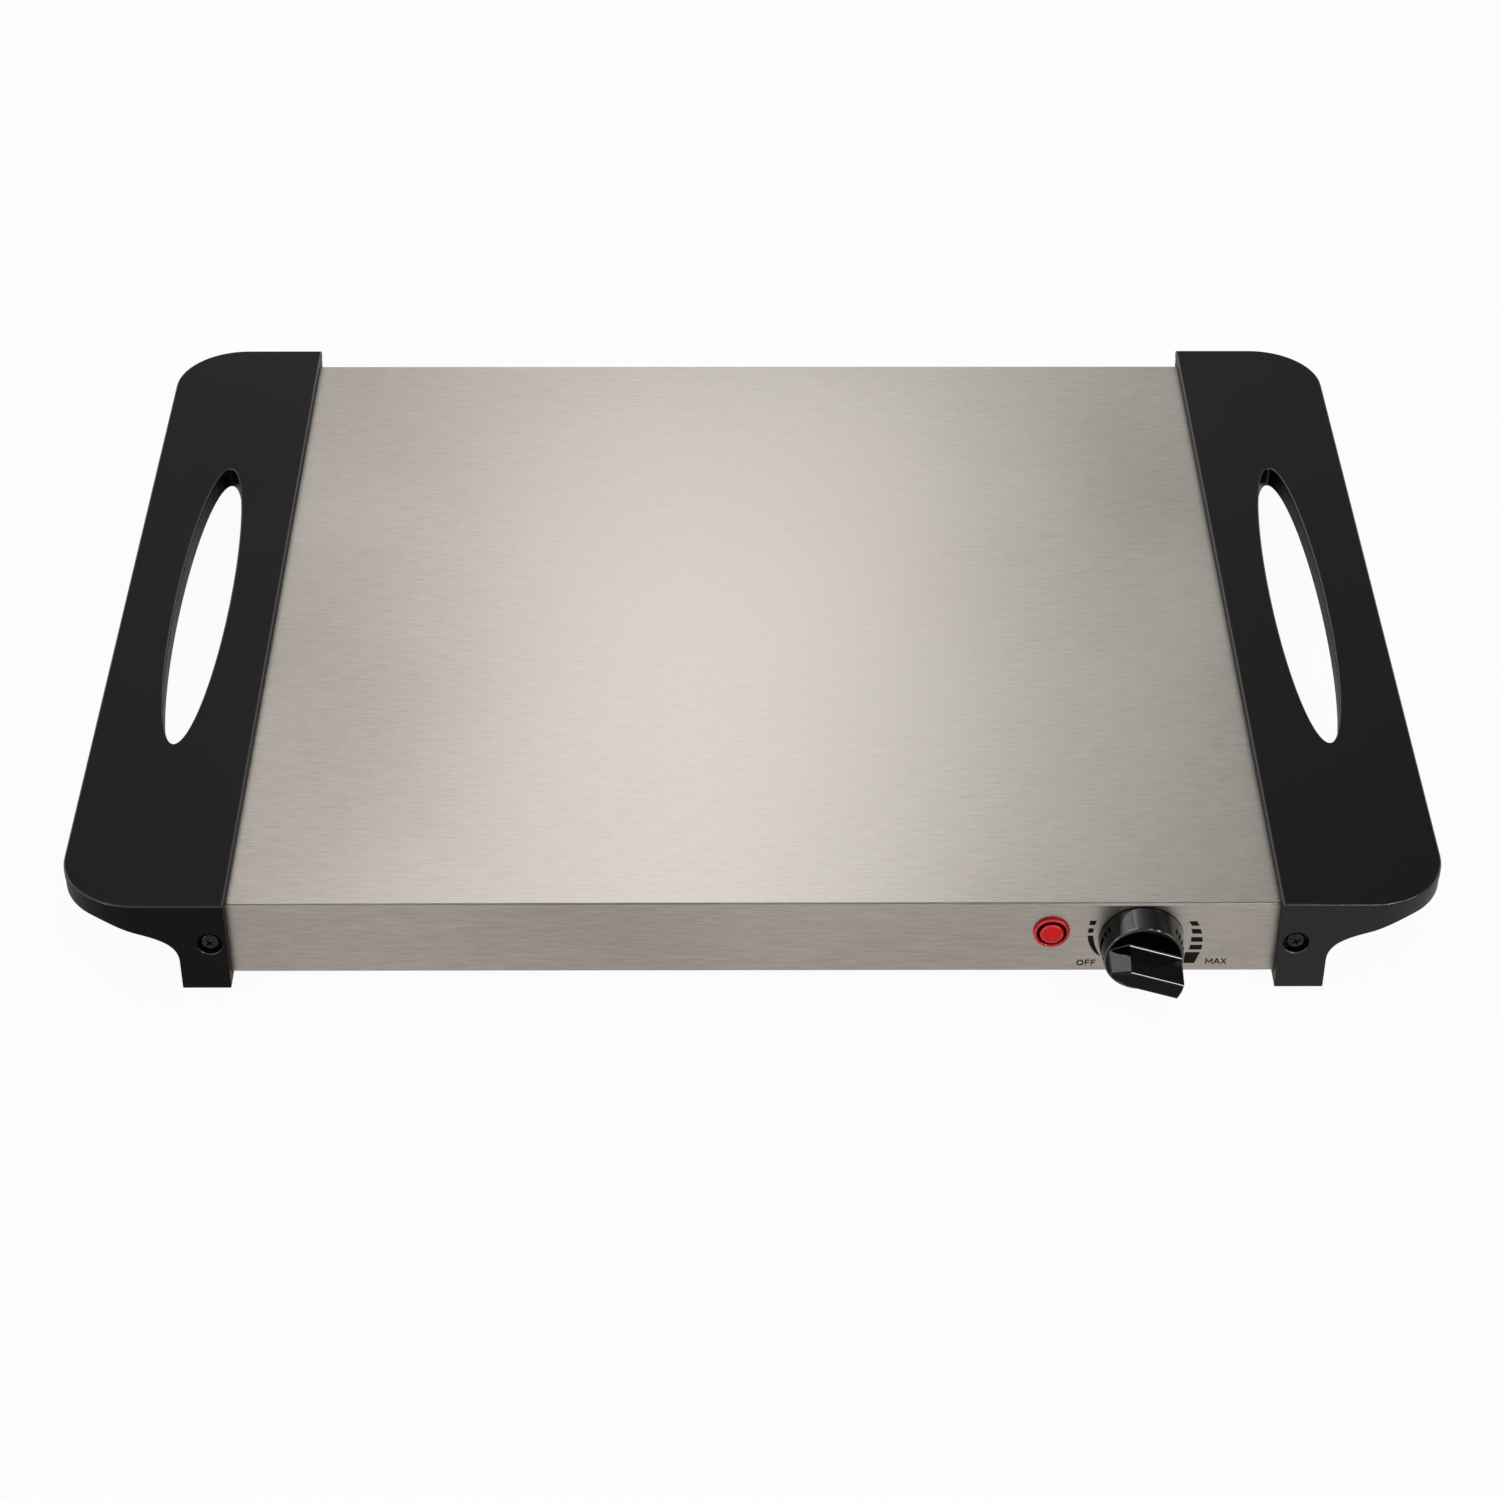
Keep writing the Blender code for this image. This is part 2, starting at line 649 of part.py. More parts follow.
def make_base_plate(tray, material):
    """The plate inside the lips, with a panel pressed down between them."""
    half_length = END - FIT
    half_depth = BACK - SHEET - FOLD_RADIUS
    edge = rounded_rectangle(half_length, half_depth, PLATE_CORNER, FOLD_STEPS)
    brim = rounded_rectangle(PANEL_HALF_LENGTH, PANEL_HALF_DEPTH, PANEL_CORNER, FOLD_STEPS)
    inner_length = PANEL_HALF_LENGTH - PANEL_SLOPE
    inner_depth = PANEL_HALF_DEPTH - PANEL_SLOPE
    floor = rounded_rectangle(inner_length, inner_depth, PANEL_CORNER - PANEL_SLOPE, FOLD_STEPS)
    bm = bmesh.new()
    stack(bm, "Z", [
        (floor, PLATE_LOW - PANEL_PRESS), (brim, PLATE_LOW), (edge, PLATE_LOW),
        (edge, PLATE_HIGH), (brim, PLATE_HIGH), (floor, PLATE_HIGH - PANEL_PRESS),
    ])
    plate = piece("base_plate", bm, material, tray)

    holes = bmesh.new()
    low, high = PLATE_LOW - PANEL_PRESS - OVERRUN, PLATE_HIGH + OVERRUN
    for side in (-1, 1):
        for i in range(SLOT_COUNT):
            x = SLOT_PITCH * (i - (SLOT_COUNT - 1) / 2)
            centre = (x, side * SLOT_ROW_SHARE * PANEL_HALF_DEPTH)
            slot = rounded_rectangle(SLOT_WIDTH / 2, SLOT_LENGTH / 2, SLOT_WIDTH / 2 - FIT, 1, centre)
            prism(holes, slot, "Z", low, high)
    for place in base_screw_places():
        rod(holes, "Z", place, BASE_SCREW_SHANK + FIT, low, high, TINY_SIDES)
    rod(holes, "Z", (EARTH_X, BACK - EARTH_FROM_BACK), EARTH_SCREW_SHANK + FIT, low, high, TINY_SIDES)
    cut(plate, holes, "holes")


def make_base_screws(tray, material):
    bm = bmesh.new()
    screw(bm, "Z", (0.0, 0.0), 0.0, -1, BASE_SCREW_HEAD, BASE_SCREW_HEAD_HEIGHT, BASE_SCREW_SHANK,
          BASE_SCREW_LENGTH, TINY_SIDES)
    seats = [(x, y, TRAY_BOTTOM - FIT, 0.0) for x, y in base_screw_places()]
    copies("base_screw", bm, material, tray, seats)


# End caps

def cap_outline(inset):
    """Plan of the right-hand cap: square where it meets the steel, round at its two outer corners."""
    half = CAP_HALF_DEPTH
    corner = (CAP_OUTER - CAP_CORNER, half - CAP_CORNER)
    radius = CAP_CORNER - inset
    near = CAP_SHOWN_FROM + inset
    front = arc((corner[0], -corner[1]), radius, -90.0, 0.0, CORNER_STEPS)
    back = arc(corner, radius, 0.0, 90.0, CORNER_STEPS)
    return [(near, inset - half)] + front + back + [(near, half - inset)]


def under_curve():
    """What is open below the rim: outside the foot, under the curve that joins foot and rim."""
    rim_low = CAP_TOP - RIM_DEPTH
    shoulder = (FOOT_OUTER, SHOULDER_HEIGHT)
    brow = (BROW_START, BROW_HEIGHT)
    rise = BROW_HEIGHT - SHOULDER_HEIGHT
    run = BROW_START - FOOT_OUTER
    slope = (rim_low - BROW_HEIGHT) / (BROW_END - BROW_START) * BROW_SLOPE_SHARE
    up, back = rise * BROW_PULL_SHARES[0], run * BROW_PULL_SHARES[1]
    pull_end = (BROW_START - back, BROW_HEIGHT - back * slope)
    hollow = cubic(shoulder, (FOOT_OUTER, SHOULDER_HEIGHT + up), pull_end, brow, CORNER_STEPS)
    pull = (BROW_END - BROW_START) / 3
    swell = cubic(brow, (BROW_START + pull, BROW_HEIGHT + pull * slope), (BROW_END - pull, rim_low),
                  (BROW_END, rim_low), CORNER_STEPS // 2)
    beyond = CAP_OUTER + OVERRUN
    heel = [(FOOT_OUTER - FOOT_EDGE, -OVERRUN), (FOOT_OUTER - FOOT_EDGE, 0.0), (FOOT_OUTER, FOOT_EDGE)]
    return heel + [shoulder] + hollow + swell + [(beyond, rim_low), (beyond, -OVERRUN)]


def handle_hollow():
    """Plan of the hollow below the cap's plate, which leaves the walls and the two foot posts."""
    near = END + FIT + CAP_END_WALL
    post = BACK - FOOT_REACH
    wall = CAP_HALF_DEPTH - CAP_WALL
    corner = (CAP_OUTER - CAP_CORNER, CAP_HALF_DEPTH - CAP_CORNER)
    radius = CAP_CORNER - CAP_WALL
    front = arc((corner[0], -corner[1]), radius, -90.0, 0.0, CORNER_STEPS)
    back = arc(corner, radius, 0.0, 90.0, CORNER_STEPS)
    start = [(near, -post), (FOOT_OUTER, -post), (FOOT_OUTER, -wall)]
    return start + front + back + [(FOOT_OUTER, wall), (FOOT_OUTER, post), (near, post)]


def cap_body():
    """The cap as one block, its lower edge chamfered and its upper edge rounded."""
    layers = [(cap_outline(FOOT_EDGE), 0.0), (cap_outline(0.0), FOOT_EDGE)]
    for i in range(FOLD_STEPS + 1):
        a = pi / 2 * i / FOLD_STEPS
        layers.append((cap_outline(CAP_EDGE * (1 - cos(a))), CAP_TOP - CAP_EDGE * (1 - sin(a))))
    bm = bmesh.new()
    stack(bm, "Z", layers)
    return bm


def grip_cutter():
    """The finger opening, flared at the top to round its edge."""
    centre = (GRIP_X, 0.0)
    low = CAP_TOP - GRIP_DEPTH - OVERRUN
    layers = [(ellipse(centre, GRIP_HALF_WIDTH, GRIP_HALF_LENGTH, FINE_SIDES), low)]
    for i in range(FOLD_STEPS + 1):
        a = pi / 2 * i / FOLD_STEPS
        grow = CAP_EDGE * (1 - cos(a))
        outline = ellipse(centre, GRIP_HALF_WIDTH + grow, GRIP_HALF_LENGTH + grow, FINE_SIDES)
        layers.append((outline, CAP_TOP - CAP_EDGE * (1 - sin(a))))
    layers.append((layers[-1][0], CAP_TOP + OVERRUN))
    bm = bmesh.new()
    stack(bm, "Z", layers)
    return bm


def cap_ribs():
    """Ribs below the plate: right across beside the opening, and from its collar to the rim along it."""
    bm = bmesh.new()
    near = END + FIT + CAP_END_WALL - BITE
    far = CAP_OUTER - CAP_WALL + BITE
    high = CAP_TOP - CAP_PLATE + BITE
    low = CAP_TOP - CAP_PLATE - RIB_DEPTH
    half = RIB_WIDTH / 2
    for share in CAP_RIB_SHARES:
        y = share * CAP_HALF_DEPTH
        box(bm, (near, y - half, low), (far, y + half, high))
    for share in GRIP_RIB_SHARES:
        y = share * GRIP_HALF_LENGTH
        collar = GRIP_X + GRIP_HALF_WIDTH * sqrt(1 - share * share) + GRIP_COLLAR / 2
        box(bm, (collar, y - half, low), (far, y + half, high))
    return bm


def recess_cutters():
    """The stepped holes of the cap's screws: a recess for the head and a clear hole for the shank."""
    bm = bmesh.new()
    outer = CAP_HALF_DEPTH + OVERRUN
    floor = CAP_HALF_DEPTH - RECESS_DEPTH
    inner = BACK - OVERRUN
    hole = CAP_SCREW_SHANK + FIT
    for side in (-1, 1):
        profile = [(0.0, side * outer), (RECESS_RADIUS, side * outer), (RECESS_RADIUS, side * floor),
                   (hole, side * floor), (hole, side * inner), (0.0, side * inner)]
        turned(bm, "Y", (CAP_SCREW_X, CAP_SCREW_Z), profile, ROUND_SIDES)
    return bm


def make_end_cap(tray, material, name, side):
    """A moulded end: plate, rim, curved end walls, foot posts, end wall, collar and ribs."""
    cap = piece(name, mirrored(cap_body(), side), material, tray)
    below, inner_wall = -OVERRUN, END + FIT
    reach = CAP_HALF_DEPTH + OVERRUN

    bm = bmesh.new()
    prism(bm, under_curve(), "Y", -reach, reach)
    cut(cap, mirrored(bm, side), "under_curve")

    bm = bmesh.new()
    prism(bm, handle_hollow(), "Z", below, CAP_TOP - CAP_PLATE)
    cut(cap, mirrored(bm, side), "hollow")

    bm = bmesh.new()
    near = CAP_SHOWN_FROM - OVERRUN
    box(bm, (near, FRONT - FIT, TRAY_BOTTOM - FIT), (inner_wall, BACK + FIT, TRAY_TOP + FIT))
    cut(cap, mirrored(bm, side), "tray_seat")

    bm = bmesh.new()
    post = BACK - FOOT_REACH
    box(bm, (near, -post, below), (inner_wall + CAP_END_WALL + OVERRUN, post, TRAY_BOTTOM + FIT))
    cut(cap, mirrored(bm, side), "underside")

    bm = bmesh.new()
    collar = ellipse((GRIP_X, 0.0), GRIP_HALF_WIDTH + GRIP_COLLAR, GRIP_HALF_LENGTH + GRIP_COLLAR, FINE_SIDES)
    prism(bm, collar, "Z", CAP_TOP - GRIP_DEPTH, CAP_TOP - CAP_PLATE + BITE)
    join(cap, mirrored(bm, side), "collar")
    join(cap, mirrored(cap_ribs(), side), "ribs")
    cut(cap, mirrored(grip_cutter(), side), "grip")
    cut(cap, mirrored(recess_cutters(), side), "screw_recesses")


def make_cap_screws(tray, material):
    bm = bmesh.new()
    screw(bm, "Y", (0.0, 0.0), 0.0, -1, CAP_SCREW_HEAD, CAP_SCREW_HEAD_HEIGHT, CAP_SCREW_SHANK,
          CAP_SCREW_LENGTH, SMALL_SIDES)
    seat = CAP_HALF_DEPTH - RECESS_DEPTH + FIT
    front = [(x, -seat, CAP_SCREW_Z, 0.0) for x in (-CAP_SCREW_X, CAP_SCREW_X)]
    back = [(x, seat, CAP_SCREW_Z, pi) for x in (-CAP_SCREW_X, CAP_SCREW_X)]
    copies("end_cap_screw", bm, material, tray, front + back)


# Heater

def stud_holes(low, high):
    bm = bmesh.new()
    for place in STUD_PLACES:
        rod(bm, "Z", place, STUD_HOLE, low - OVERRUN, high + OVERRUN, SMALL_SIDES)
    return bm


def make_sheet(tray, material, name, half_length, half_depth, corner, low, high):
    """A flat sheet with round corners and holes for the studs."""
    bm = bmesh.new()
    prism(bm, rounded_rectangle(half_length, half_depth, corner, FOLD_STEPS), "Z", low, high)
    cut(piece(name, bm, material, tray), stud_holes(low, high), "stud_holes")


def make_heat_shield(tray, material):
    """The reflector pan: a floor and a turned-up wall, with two notches for the tube's ends."""
    def layer(inset):
        radius = PAN_CORNER - inset
        return rounded_rectangle(PAN_HALF_LENGTH - inset, PAN_HALF_DEPTH - inset, radius, FOLD_STEPS)

    bm = bmesh.new()
    stack(bm, "Z", [
        (layer(PAN_FOLD), PAN_LOW), (layer(0.0), PAN_LOW + PAN_FOLD), (layer(0.0), PAN_RIM),
        (layer(PAN_SHEET), PAN_RIM), (layer(PAN_SHEET), PAN_LOW + PAN_FOLD), (layer(PAN_FOLD), PAN_FLOOR),
    ])
    pan = piece("heat_shield", bm, material, tray)
    cut(pan, stud_holes(PAN_LOW, PAN_FLOOR), "stud_holes")

    notches = bmesh.new()
    low, high = PAN_HALF_LENGTH - PAN_SHEET - OVERRUN, PAN_HALF_LENGTH + OVERRUN
    width, top = SEAL_RADIUS + FIT, PAN_RIM + OVERRUN
    for y in (RUN_PLACES[0], RUN_PLACES[-1]):
        outline = arc((y, TUBE_Z), width, 180.0, 360.0, CORNER_STEPS) + [(y + width, top), (y - width, top)]
        prism(notches, outline, "X", low, high)
    cut(pan, notches, "tube_notches")


def tube_route():
    """The serpentine: straight runs joined by half turns, both ends on the right."""
    route = [(TUBE_END, RUN_PLACES[0])]
    radius = RUN_PITCH / 2
    for i in range(RUN_COUNT - 1):
        side = -1 if i % 2 == 0 else 1
        middle = (RUN_PLACES[i] + RUN_PLACES[i + 1]) / 2
        start, end = (-90.0, -270.0) if side < 0 else (-90.0, 90.0)
        route += arc((side * RUN_HALF_LENGTH, middle), radius, start, end, CORNER_STEPS)
    return [(x, y, TUBE_Z) for x, y in route + [(TUBE_END, RUN_PLACES[-1])]]


def tube(name, route, radius, material, tray):
    """A round tube along a route, as a curve object with filled ends."""
    curve = bpy.data.curves.new(name, "CURVE")
    curve.dimensions = "3D"
    curve.bevel_depth = radius
    curve.bevel_resolution = LEAD_ROUND_STEPS
    curve.use_fill_caps = True
    spline = curve.splines.new("POLY")
    spline.points.add(len(route) - 1)
    for point, place in zip(spline.points, route):
        point.co = (*place, 1.0)
    spline.use_smooth = True
    curve.materials.append(material)
    held = bpy.data.objects.new(name, curve)
    held.parent = tray
    bpy.context.scene.collection.objects.link(held)


def make_element(tray, steel, ceramic, wire):
    """The sheathed tube, and at each end a ceramic seal round a cold pin."""
    tube("heating_element", tube_route(), TUBE_RADIUS, steel, tray)
    start = TUBE_END + FIT
    seals, pins = bmesh.new(), bmesh.new()
    bore = PIN_RADIUS + FIT
    ring = [(bore, 0.0), (SEAL_RADIUS, 0.0), (SEAL_RADIUS, SEAL_LENGTH), (bore, SEAL_LENGTH)]
    turned(seals, "X", (0.0, 0.0), ring, SMALL_SIDES)
    rod(pins, "X", (0.0, 0.0), PIN_RADIUS, 0.0, PIN_LENGTH, TINY_SIDES)
    ends = [(start, y, TUBE_Z, 0.0) for y in (RUN_PLACES[0], RUN_PLACES[-1])]
    copies("element_seal", seals, ceramic, tray, ends)
    copies("element_pin", pins, wire, tray, ends)


def make_clamp_bars(tray, material):
    """Bars pressed up against the spreader, with a saddle round each run of the tube."""
    end = RUN_PLACES[-1] + SADDLE_RADIUS + BAR_END
    path, radii = [(-end, BAR_MIDDLE_Z)], []
    for y in RUN_PLACES:
        low = TUBE_Z - SADDLE_RADIUS
        path += [(y - SADDLE_RADIUS, BAR_MIDDLE_Z), (y - SADDLE_RADIUS, low),
                 (y + SADDLE_RADIUS, low), (y + SADDLE_RADIUS, BAR_MIDDLE_Z)]
        radii += [BAR_FOLD, SADDLE_RADIUS, SADDLE_RADIUS, BAR_FOLD]
    outline = folded_strip(path + [(end, BAR_MIDDLE_Z)], radii, BAR_SHEET, FOLD_STEPS)
    for name, x in (("left_clamp_bar", -BAR_X), ("right_clamp_bar", BAR_X)):
        bm = bmesh.new()
        prism(bm, outline, "X", x - BAR_WIDTH / 2, x + BAR_WIDTH / 2)
        bar = piece(name, bm, material, tray)
        cut(bar, stud_holes(BAR_MIDDLE_Z, BAR_MIDDLE_Z), "stud_holes")


def make_nuts(tray, material):
    """Nuts on the studs: four that pull the clamp bars up, and four that carry the pan and the board."""
    for name, high in (("bar_nut", BAR_MIDDLE_Z - BAR_SHEET / 2 - FIT), ("shield_nut", PAN_NUT_HIGH)):
        bm = bmesh.new()
        nut(bm, "Z", (0.0, 0.0), NUT_FLATS, STUD_HOLE, -NUT_HEIGHT, 0.0, SMALL_SIDES)
        copies(name, bm, material, tray, [(x, y, high, 0.0) for x, y in STUD_PLACES])


# Control knob and thermostat

def bar_section(half, reach):
    """The pointer bar's section: a blunt round end at the right, and a point at the left."""
    spread = degrees(asin(half / reach))
    blunt = arc((0.0, 0.0), reach, -spread, spread, FOLD_STEPS + 1)
    tip = [(-POINTER_REACH, POINTER_TIP_HALF), (-POINTER_REACH, -POINTER_TIP_HALF)]
    return tip + [(-POINTER_SHOULDER, -half)] + blunt + [(-POINTER_SHOULDER, half)]


def make_knob(axis, material):
    """The knob: a hollow skirt closed by a disc, a hub behind it and the pointer bar in front."""
    rear, face = -KNOB_GAP, -KNOB_GAP - KNOB_SKIRT
    inner_rear = KNOB_BASE_RADIUS - KNOB_WALL
    inner_face = KNOB_FACE_RADIUS - KNOB_WALL
    disc = face + KNOB_DISC
    rounding = [(KNOB_FACE_RADIUS - KNOB_EDGE * (1 - cos(a)), face + KNOB_EDGE * (1 - sin(a)))
                for a in (0.0, pi / 4, pi / 2)]
    bore = SPINDLE_RADIUS + FIT
    profile = [(0.0, -SPINDLE_BORE_END), (bore, -SPINDLE_BORE_END), (bore, -KNOB_HUB_START),
               (KNOB_HUB_RADIUS, -KNOB_HUB_START), (KNOB_HUB_RADIUS, disc), (inner_face, disc),
               (inner_rear, rear), (KNOB_BASE_RADIUS, rear)]
    bm = bmesh.new()
    turned(bm, "Y", (0.0, 0.0), profile + rounding + [(0.0, face)], FINE_SIDES)
    knob = piece("control_knob", bm, material, axis)

    reach = KNOB_FACE_RADIUS - BAR_INSET
    front = face - BAR_REACH
    root = (face - SPINDLE_BORE_END) / 2
    layers = [(bar_section(BAR_ROOT_HALF + BAR_ROOT_FILLET, reach), root)]
    for i in range(1, FOLD_STEPS + 1):
        a = pi / 2 * i / FOLD_STEPS
        grow = BAR_ROOT_FILLET * (1 - sin(a))
        layers.append((bar_section(BAR_ROOT_HALF + grow, reach), face - BAR_ROOT_FILLET * (1 - cos(a))))
    reach -= BAR_END_TAPER
    for a in (0.0, pi / 4, pi / 2):
        inset = BAR_EDGE * (1 - cos(a))
        layers.append((bar_section(BAR_FACE_HALF - inset, reach - inset), front + BAR_EDGE * (1 - sin(a))))
    bm = bmesh.new()
    stack(bm, "Y", layers)
    join(knob, bm, "pointer_bar")


def make_spindle(axis, material):
    """The spindle: a shaft with a flat along its outer end."""
    outline = circle((0.0, 0.0), SPINDLE_RADIUS, PLAIN_SIDES)
    flatted = [(x, min(z, SPINDLE_FLAT)) for x, z in outline]
    tip = SHEET + FIT + FRAME_SHEET + FIT + STACK_RING
    flat_end = -BUSH_FRONT
    bm = bmesh.new()
    stack(bm, "Y", [
        (flatted, FIT - SPINDLE_BORE_END), (flatted, flat_end), (outline, flat_end + FIT), (outline, tip),
    ])
    piece("thermostat_spindle", bm, material, axis)


def make_knob_clip(axis, material):
    """The spring strip between the spindle's flat and the hub's bore."""
    low = SPINDLE_FLAT + FIT + CLIP_SHEET / 2
    start = -KNOB_HUB_START - FIT
    bm = bmesh.new()
    end = start - CLIP_LENGTH
    box(bm, (-CLIP_WIDTH / 2, end, low - CLIP_SHEET / 2), (CLIP_WIDTH / 2, start, low + CLIP_SHEET / 2))
    piece("knob_clip", bm, material, axis)


def stack_places():
    """Where each layer of the blade stack starts and ends, from the front flange inward."""
    names = ("ring", "contact", "spacer", "bimetal", "end_ring")
    sizes = (STACK_RING, BLADE_SHEET, STACK_SPACER, BLADE_SHEET, STACK_SPACER)
    places, low = {}, INNER_FRONT + FIT + FRAME_SHEET + FIT
    for name, size in zip(names, sizes):
        places[name] = (low, low + size)
        low += size + FIT
    return places


def make_thermostat(tray, steel, brass, ceramic, bimetal):
    """The thermostat: a plate with its threaded bush, and blades riveted between ceramic rings."""
    low = INNER_FRONT + FIT
    middle = KNOB_X + (FRAME_RIGHT - FRAME_LEFT) / 2
    half = (FRAME_RIGHT + FRAME_LEFT) / 2
    outline = rounded_rectangle(half, FRAME_HALF_HEIGHT, FRAME_CORNER, FOLD_STEPS, (middle, KNOB_Z))
    bm = bmesh.new()
    prism(bm, outline, "Y", low, low + FRAME_SHEET)
    frame = piece("thermostat_frame", bm, steel, tray)
    bm = bmesh.new()
    rod(bm, "Y", (KNOB_X, KNOB_Z), BUSH_RADIUS, FRONT - BUSH_FRONT, low + BUSH_BACK, PLAIN_SIDES)
    join(frame, bm, "bush")
    bm = bmesh.new()
    bore = SPINDLE_RADIUS + FIT
    rod(bm, "Y", (KNOB_X, KNOB_Z), bore, FRONT - BUSH_FRONT - OVERRUN, low + BUSH_BACK + OVERRUN, PLAIN_SIDES)
    rivet_x = KNOB_X + STACK_OFFSET
    rivet_hole = RIVET_RADIUS + FIT
    rod(bm, "Y", (rivet_x, KNOB_Z), rivet_hole, low - OVERRUN, low + FRAME_SHEET + OVERRUN, SMALL_SIDES)
    cut(frame, bm, "bores")

    bm = bmesh.new()
    nut(bm, "Y", (KNOB_X, KNOB_Z), THERMO_NUT_FLATS, BUSH_RADIUS + FIT, FRONT - FIT - THERMO_NUT_HEIGHT,
        FRONT - FIT, PLAIN_SIDES)
    piece("thermostat_nut", bm, brass, tray)

    places = stack_places()
    for name in ("ring", "spacer", "end_ring"):
        start, end = places[name]
        ring = [(rivet_hole, start), (STACK_RADIUS, start), (STACK_RADIUS, end), (rivet_hole, end)]
        bm = bmesh.new()
        turned(bm, "Y", (rivet_x, KNOB_Z), ring, SMALL_SIDES)
        piece(f"thermostat_{name}", bm, ceramic, tray)

    bm = bmesh.new()
    head = places["end_ring"][1] + FIT
    rivet = [(0.0, low + FIT), (RIVET_RADIUS, low + FIT), (RIVET_RADIUS, head), (RIVET_HEAD, head),
             (RIVET_HEAD * RIVET_CROWN_SHARE, head + RIVET_HEAD_HEIGHT), (0.0, head + RIVET_HEAD_HEIGHT)]
    turned(bm, "Y", (rivet_x, KNOB_Z), rivet, SMALL_SIDES)
    piece("stack_rivet", bm, steel, tray)

    make_blade(tray, brass, "contact_blade", BLADE_TIP, BLADE_TAG, places["contact"], 1)
    make_blade(tray, bimetal, "bimetal_blade", BIMETAL_TIP, BIMETAL_TAG, places["bimetal"], -1)


def make_blade(tray, material, name, tip, tag, span, facing):
    """A blade of the switch: a strip with a hole for the rivet and a contact that faces the other blade."""
    bm = bmesh.new()
    low = (KNOB_X - tip, KNOB_Z - BLADE_HALF_WIDTH)
    high = (KNOB_X + tag, KNOB_Z + BLADE_HALF_WIDTH)
    prism(bm, rectangle(low, high), "Y", *span)
    blade = piece(name, bm, material, tray)
    bm = bmesh.new()
    height = (STACK_SPACER + FIT) / 2
    face = span[1] if facing > 0 else span[0]
    ends = sorted((face - facing * BLADE_SHEET / 2, face + facing * height))
    rod(bm, "Y", (KNOB_X - CONTACT_X, KNOB_Z), CONTACT_RADIUS, *ends, SMALL_SIDES)
    join(blade, bm, "contact")
    bm = bmesh.new()
    hole = RIVET_RADIUS + FIT
    rod(bm, "Y", (KNOB_X + STACK_OFFSET, KNOB_Z), hole, span[0] - OVERRUN, span[1] + OVERRUN, SMALL_SIDES)
    cut(blade, bm, "rivet_hole")


# Pilot lamp

def make_pilot_lamp(tray, lens, glass, steel):
    """The lens with its rim, groove and dome, the glow lamp in its barrel, and the ring that holds it."""
    centre = (LAMP_X, LAMP_Z)
    seat = FRONT - FIT
    rim = FRONT - LAMP_RIM_PROUD
    groove = FRONT - LAMP_GROOVE
    rim_inner = LAMP_RIM - LAMP_RIM_WIDTH
    back = FRONT + LAMP_BARREL_LENGTH
    chamfer = (LAMP_RIM_PROUD - LAMP_GROOVE) / 3
    dome = []
    rise = LAMP_DOME_PROUD - LAMP_GROOVE
    for i in range(FOLD_STEPS + 1):
        a = pi / 2 * i / FOLD_STEPS
        dome.append((LAMP_DOME * sin(a), groove - rise * cos(a)))
    profile = dome + [
        (rim_inner, groove), (rim_inner + chamfer, rim), (LAMP_RIM - chamfer, rim), (LAMP_RIM, rim + chamfer),
        (LAMP_RIM, seat), (LAMP_BARREL, seat), (LAMP_BARREL, back), (LAMP_BORE, back),
        (LAMP_BORE, FRONT + LAMP_FACE), (0.0, FRONT + LAMP_FACE),
    ]
    bm = bmesh.new()
    turned(bm, "Y", centre, profile, ROUND_SIDES)
    piece("pilot_lamp_lens", bm, lens, tray)

    bulb = LAMP_BORE - FIT
    start = FRONT + LAMP_FACE + FIT
    nose = [(bulb * sin(a), start + bulb * (1 - cos(a))) for a in (0.0, pi / 6, pi / 3, pi / 2)]
    bm = bmesh.new()
    turned(bm, "Y", centre, nose + [(bulb, start + NEON_LENGTH), (0.0, start + NEON_LENGTH)], SMALL_SIDES)
    piece("neon_bulb", bm, glass, tray)

    bore = LAMP_BARREL + FIT
    low = INNER_FRONT + FIT
    ring = [(bore, low), (bore + CLIP_RING_WIDTH, low), (bore + CLIP_RING_WIDTH, low + CLIP_RING_SHEET),
            (bore, low + CLIP_RING_SHEET)]
    bm = bmesh.new()
    turned(bm, "Y", centre, ring, PLAIN_SIDES)
    piece("lamp_clip", bm, steel, tray)


# Wiring

def make_fuse(tray, sleeve, steel):
    """The thermal fuse, held up against the steel by a strap."""
    y = FRONT + FUSE_FROM_FRONT
    z = STEEL_UNDERSIDE - FIT - FUSE_RADIUS
    end = FUSE_HALF_LENGTH
    chamfer = FUSE_RADIUS - FUSE_PIN_RADIUS
    half = [(0.0, end + FUSE_PIN_LENGTH), (FUSE_PIN_RADIUS, end + FUSE_PIN_LENGTH), (FUSE_PIN_RADIUS, end),
            (FUSE_RADIUS, end - chamfer)]
    profile = [(r, FUSE_X + t) for r, t in half] + [(r, FUSE_X - t) for r, t in half[::-1]]
    bm = bmesh.new()
    turned(bm, "X", (y, z), profile, TINY_SIDES)
    piece("thermal_fuse", bm, sleeve, tray)

    around = FUSE_RADIUS + FIT + STRAP_SHEET / 2
    top = STEEL_UNDERSIDE - FIT - STRAP_SHEET / 2
    low = z - around
    reach = around + STRAP_FOOT
    path = [(y - reach, top), (y - around, top), (y - around, low), (y + around, low), (y + around, top),
            (y + reach, top)]
    folds = [STRAP_FOLD, around, around, STRAP_FOLD]
    outline = folded_strip(path, folds, STRAP_SHEET, FOLD_STEPS)
    bm = bmesh.new()
    prism(bm, outline, "X", FUSE_X - STRAP_WIDTH / 2, FUSE_X + STRAP_WIDTH / 2)
    piece("fuse_strap", bm, steel, tray)


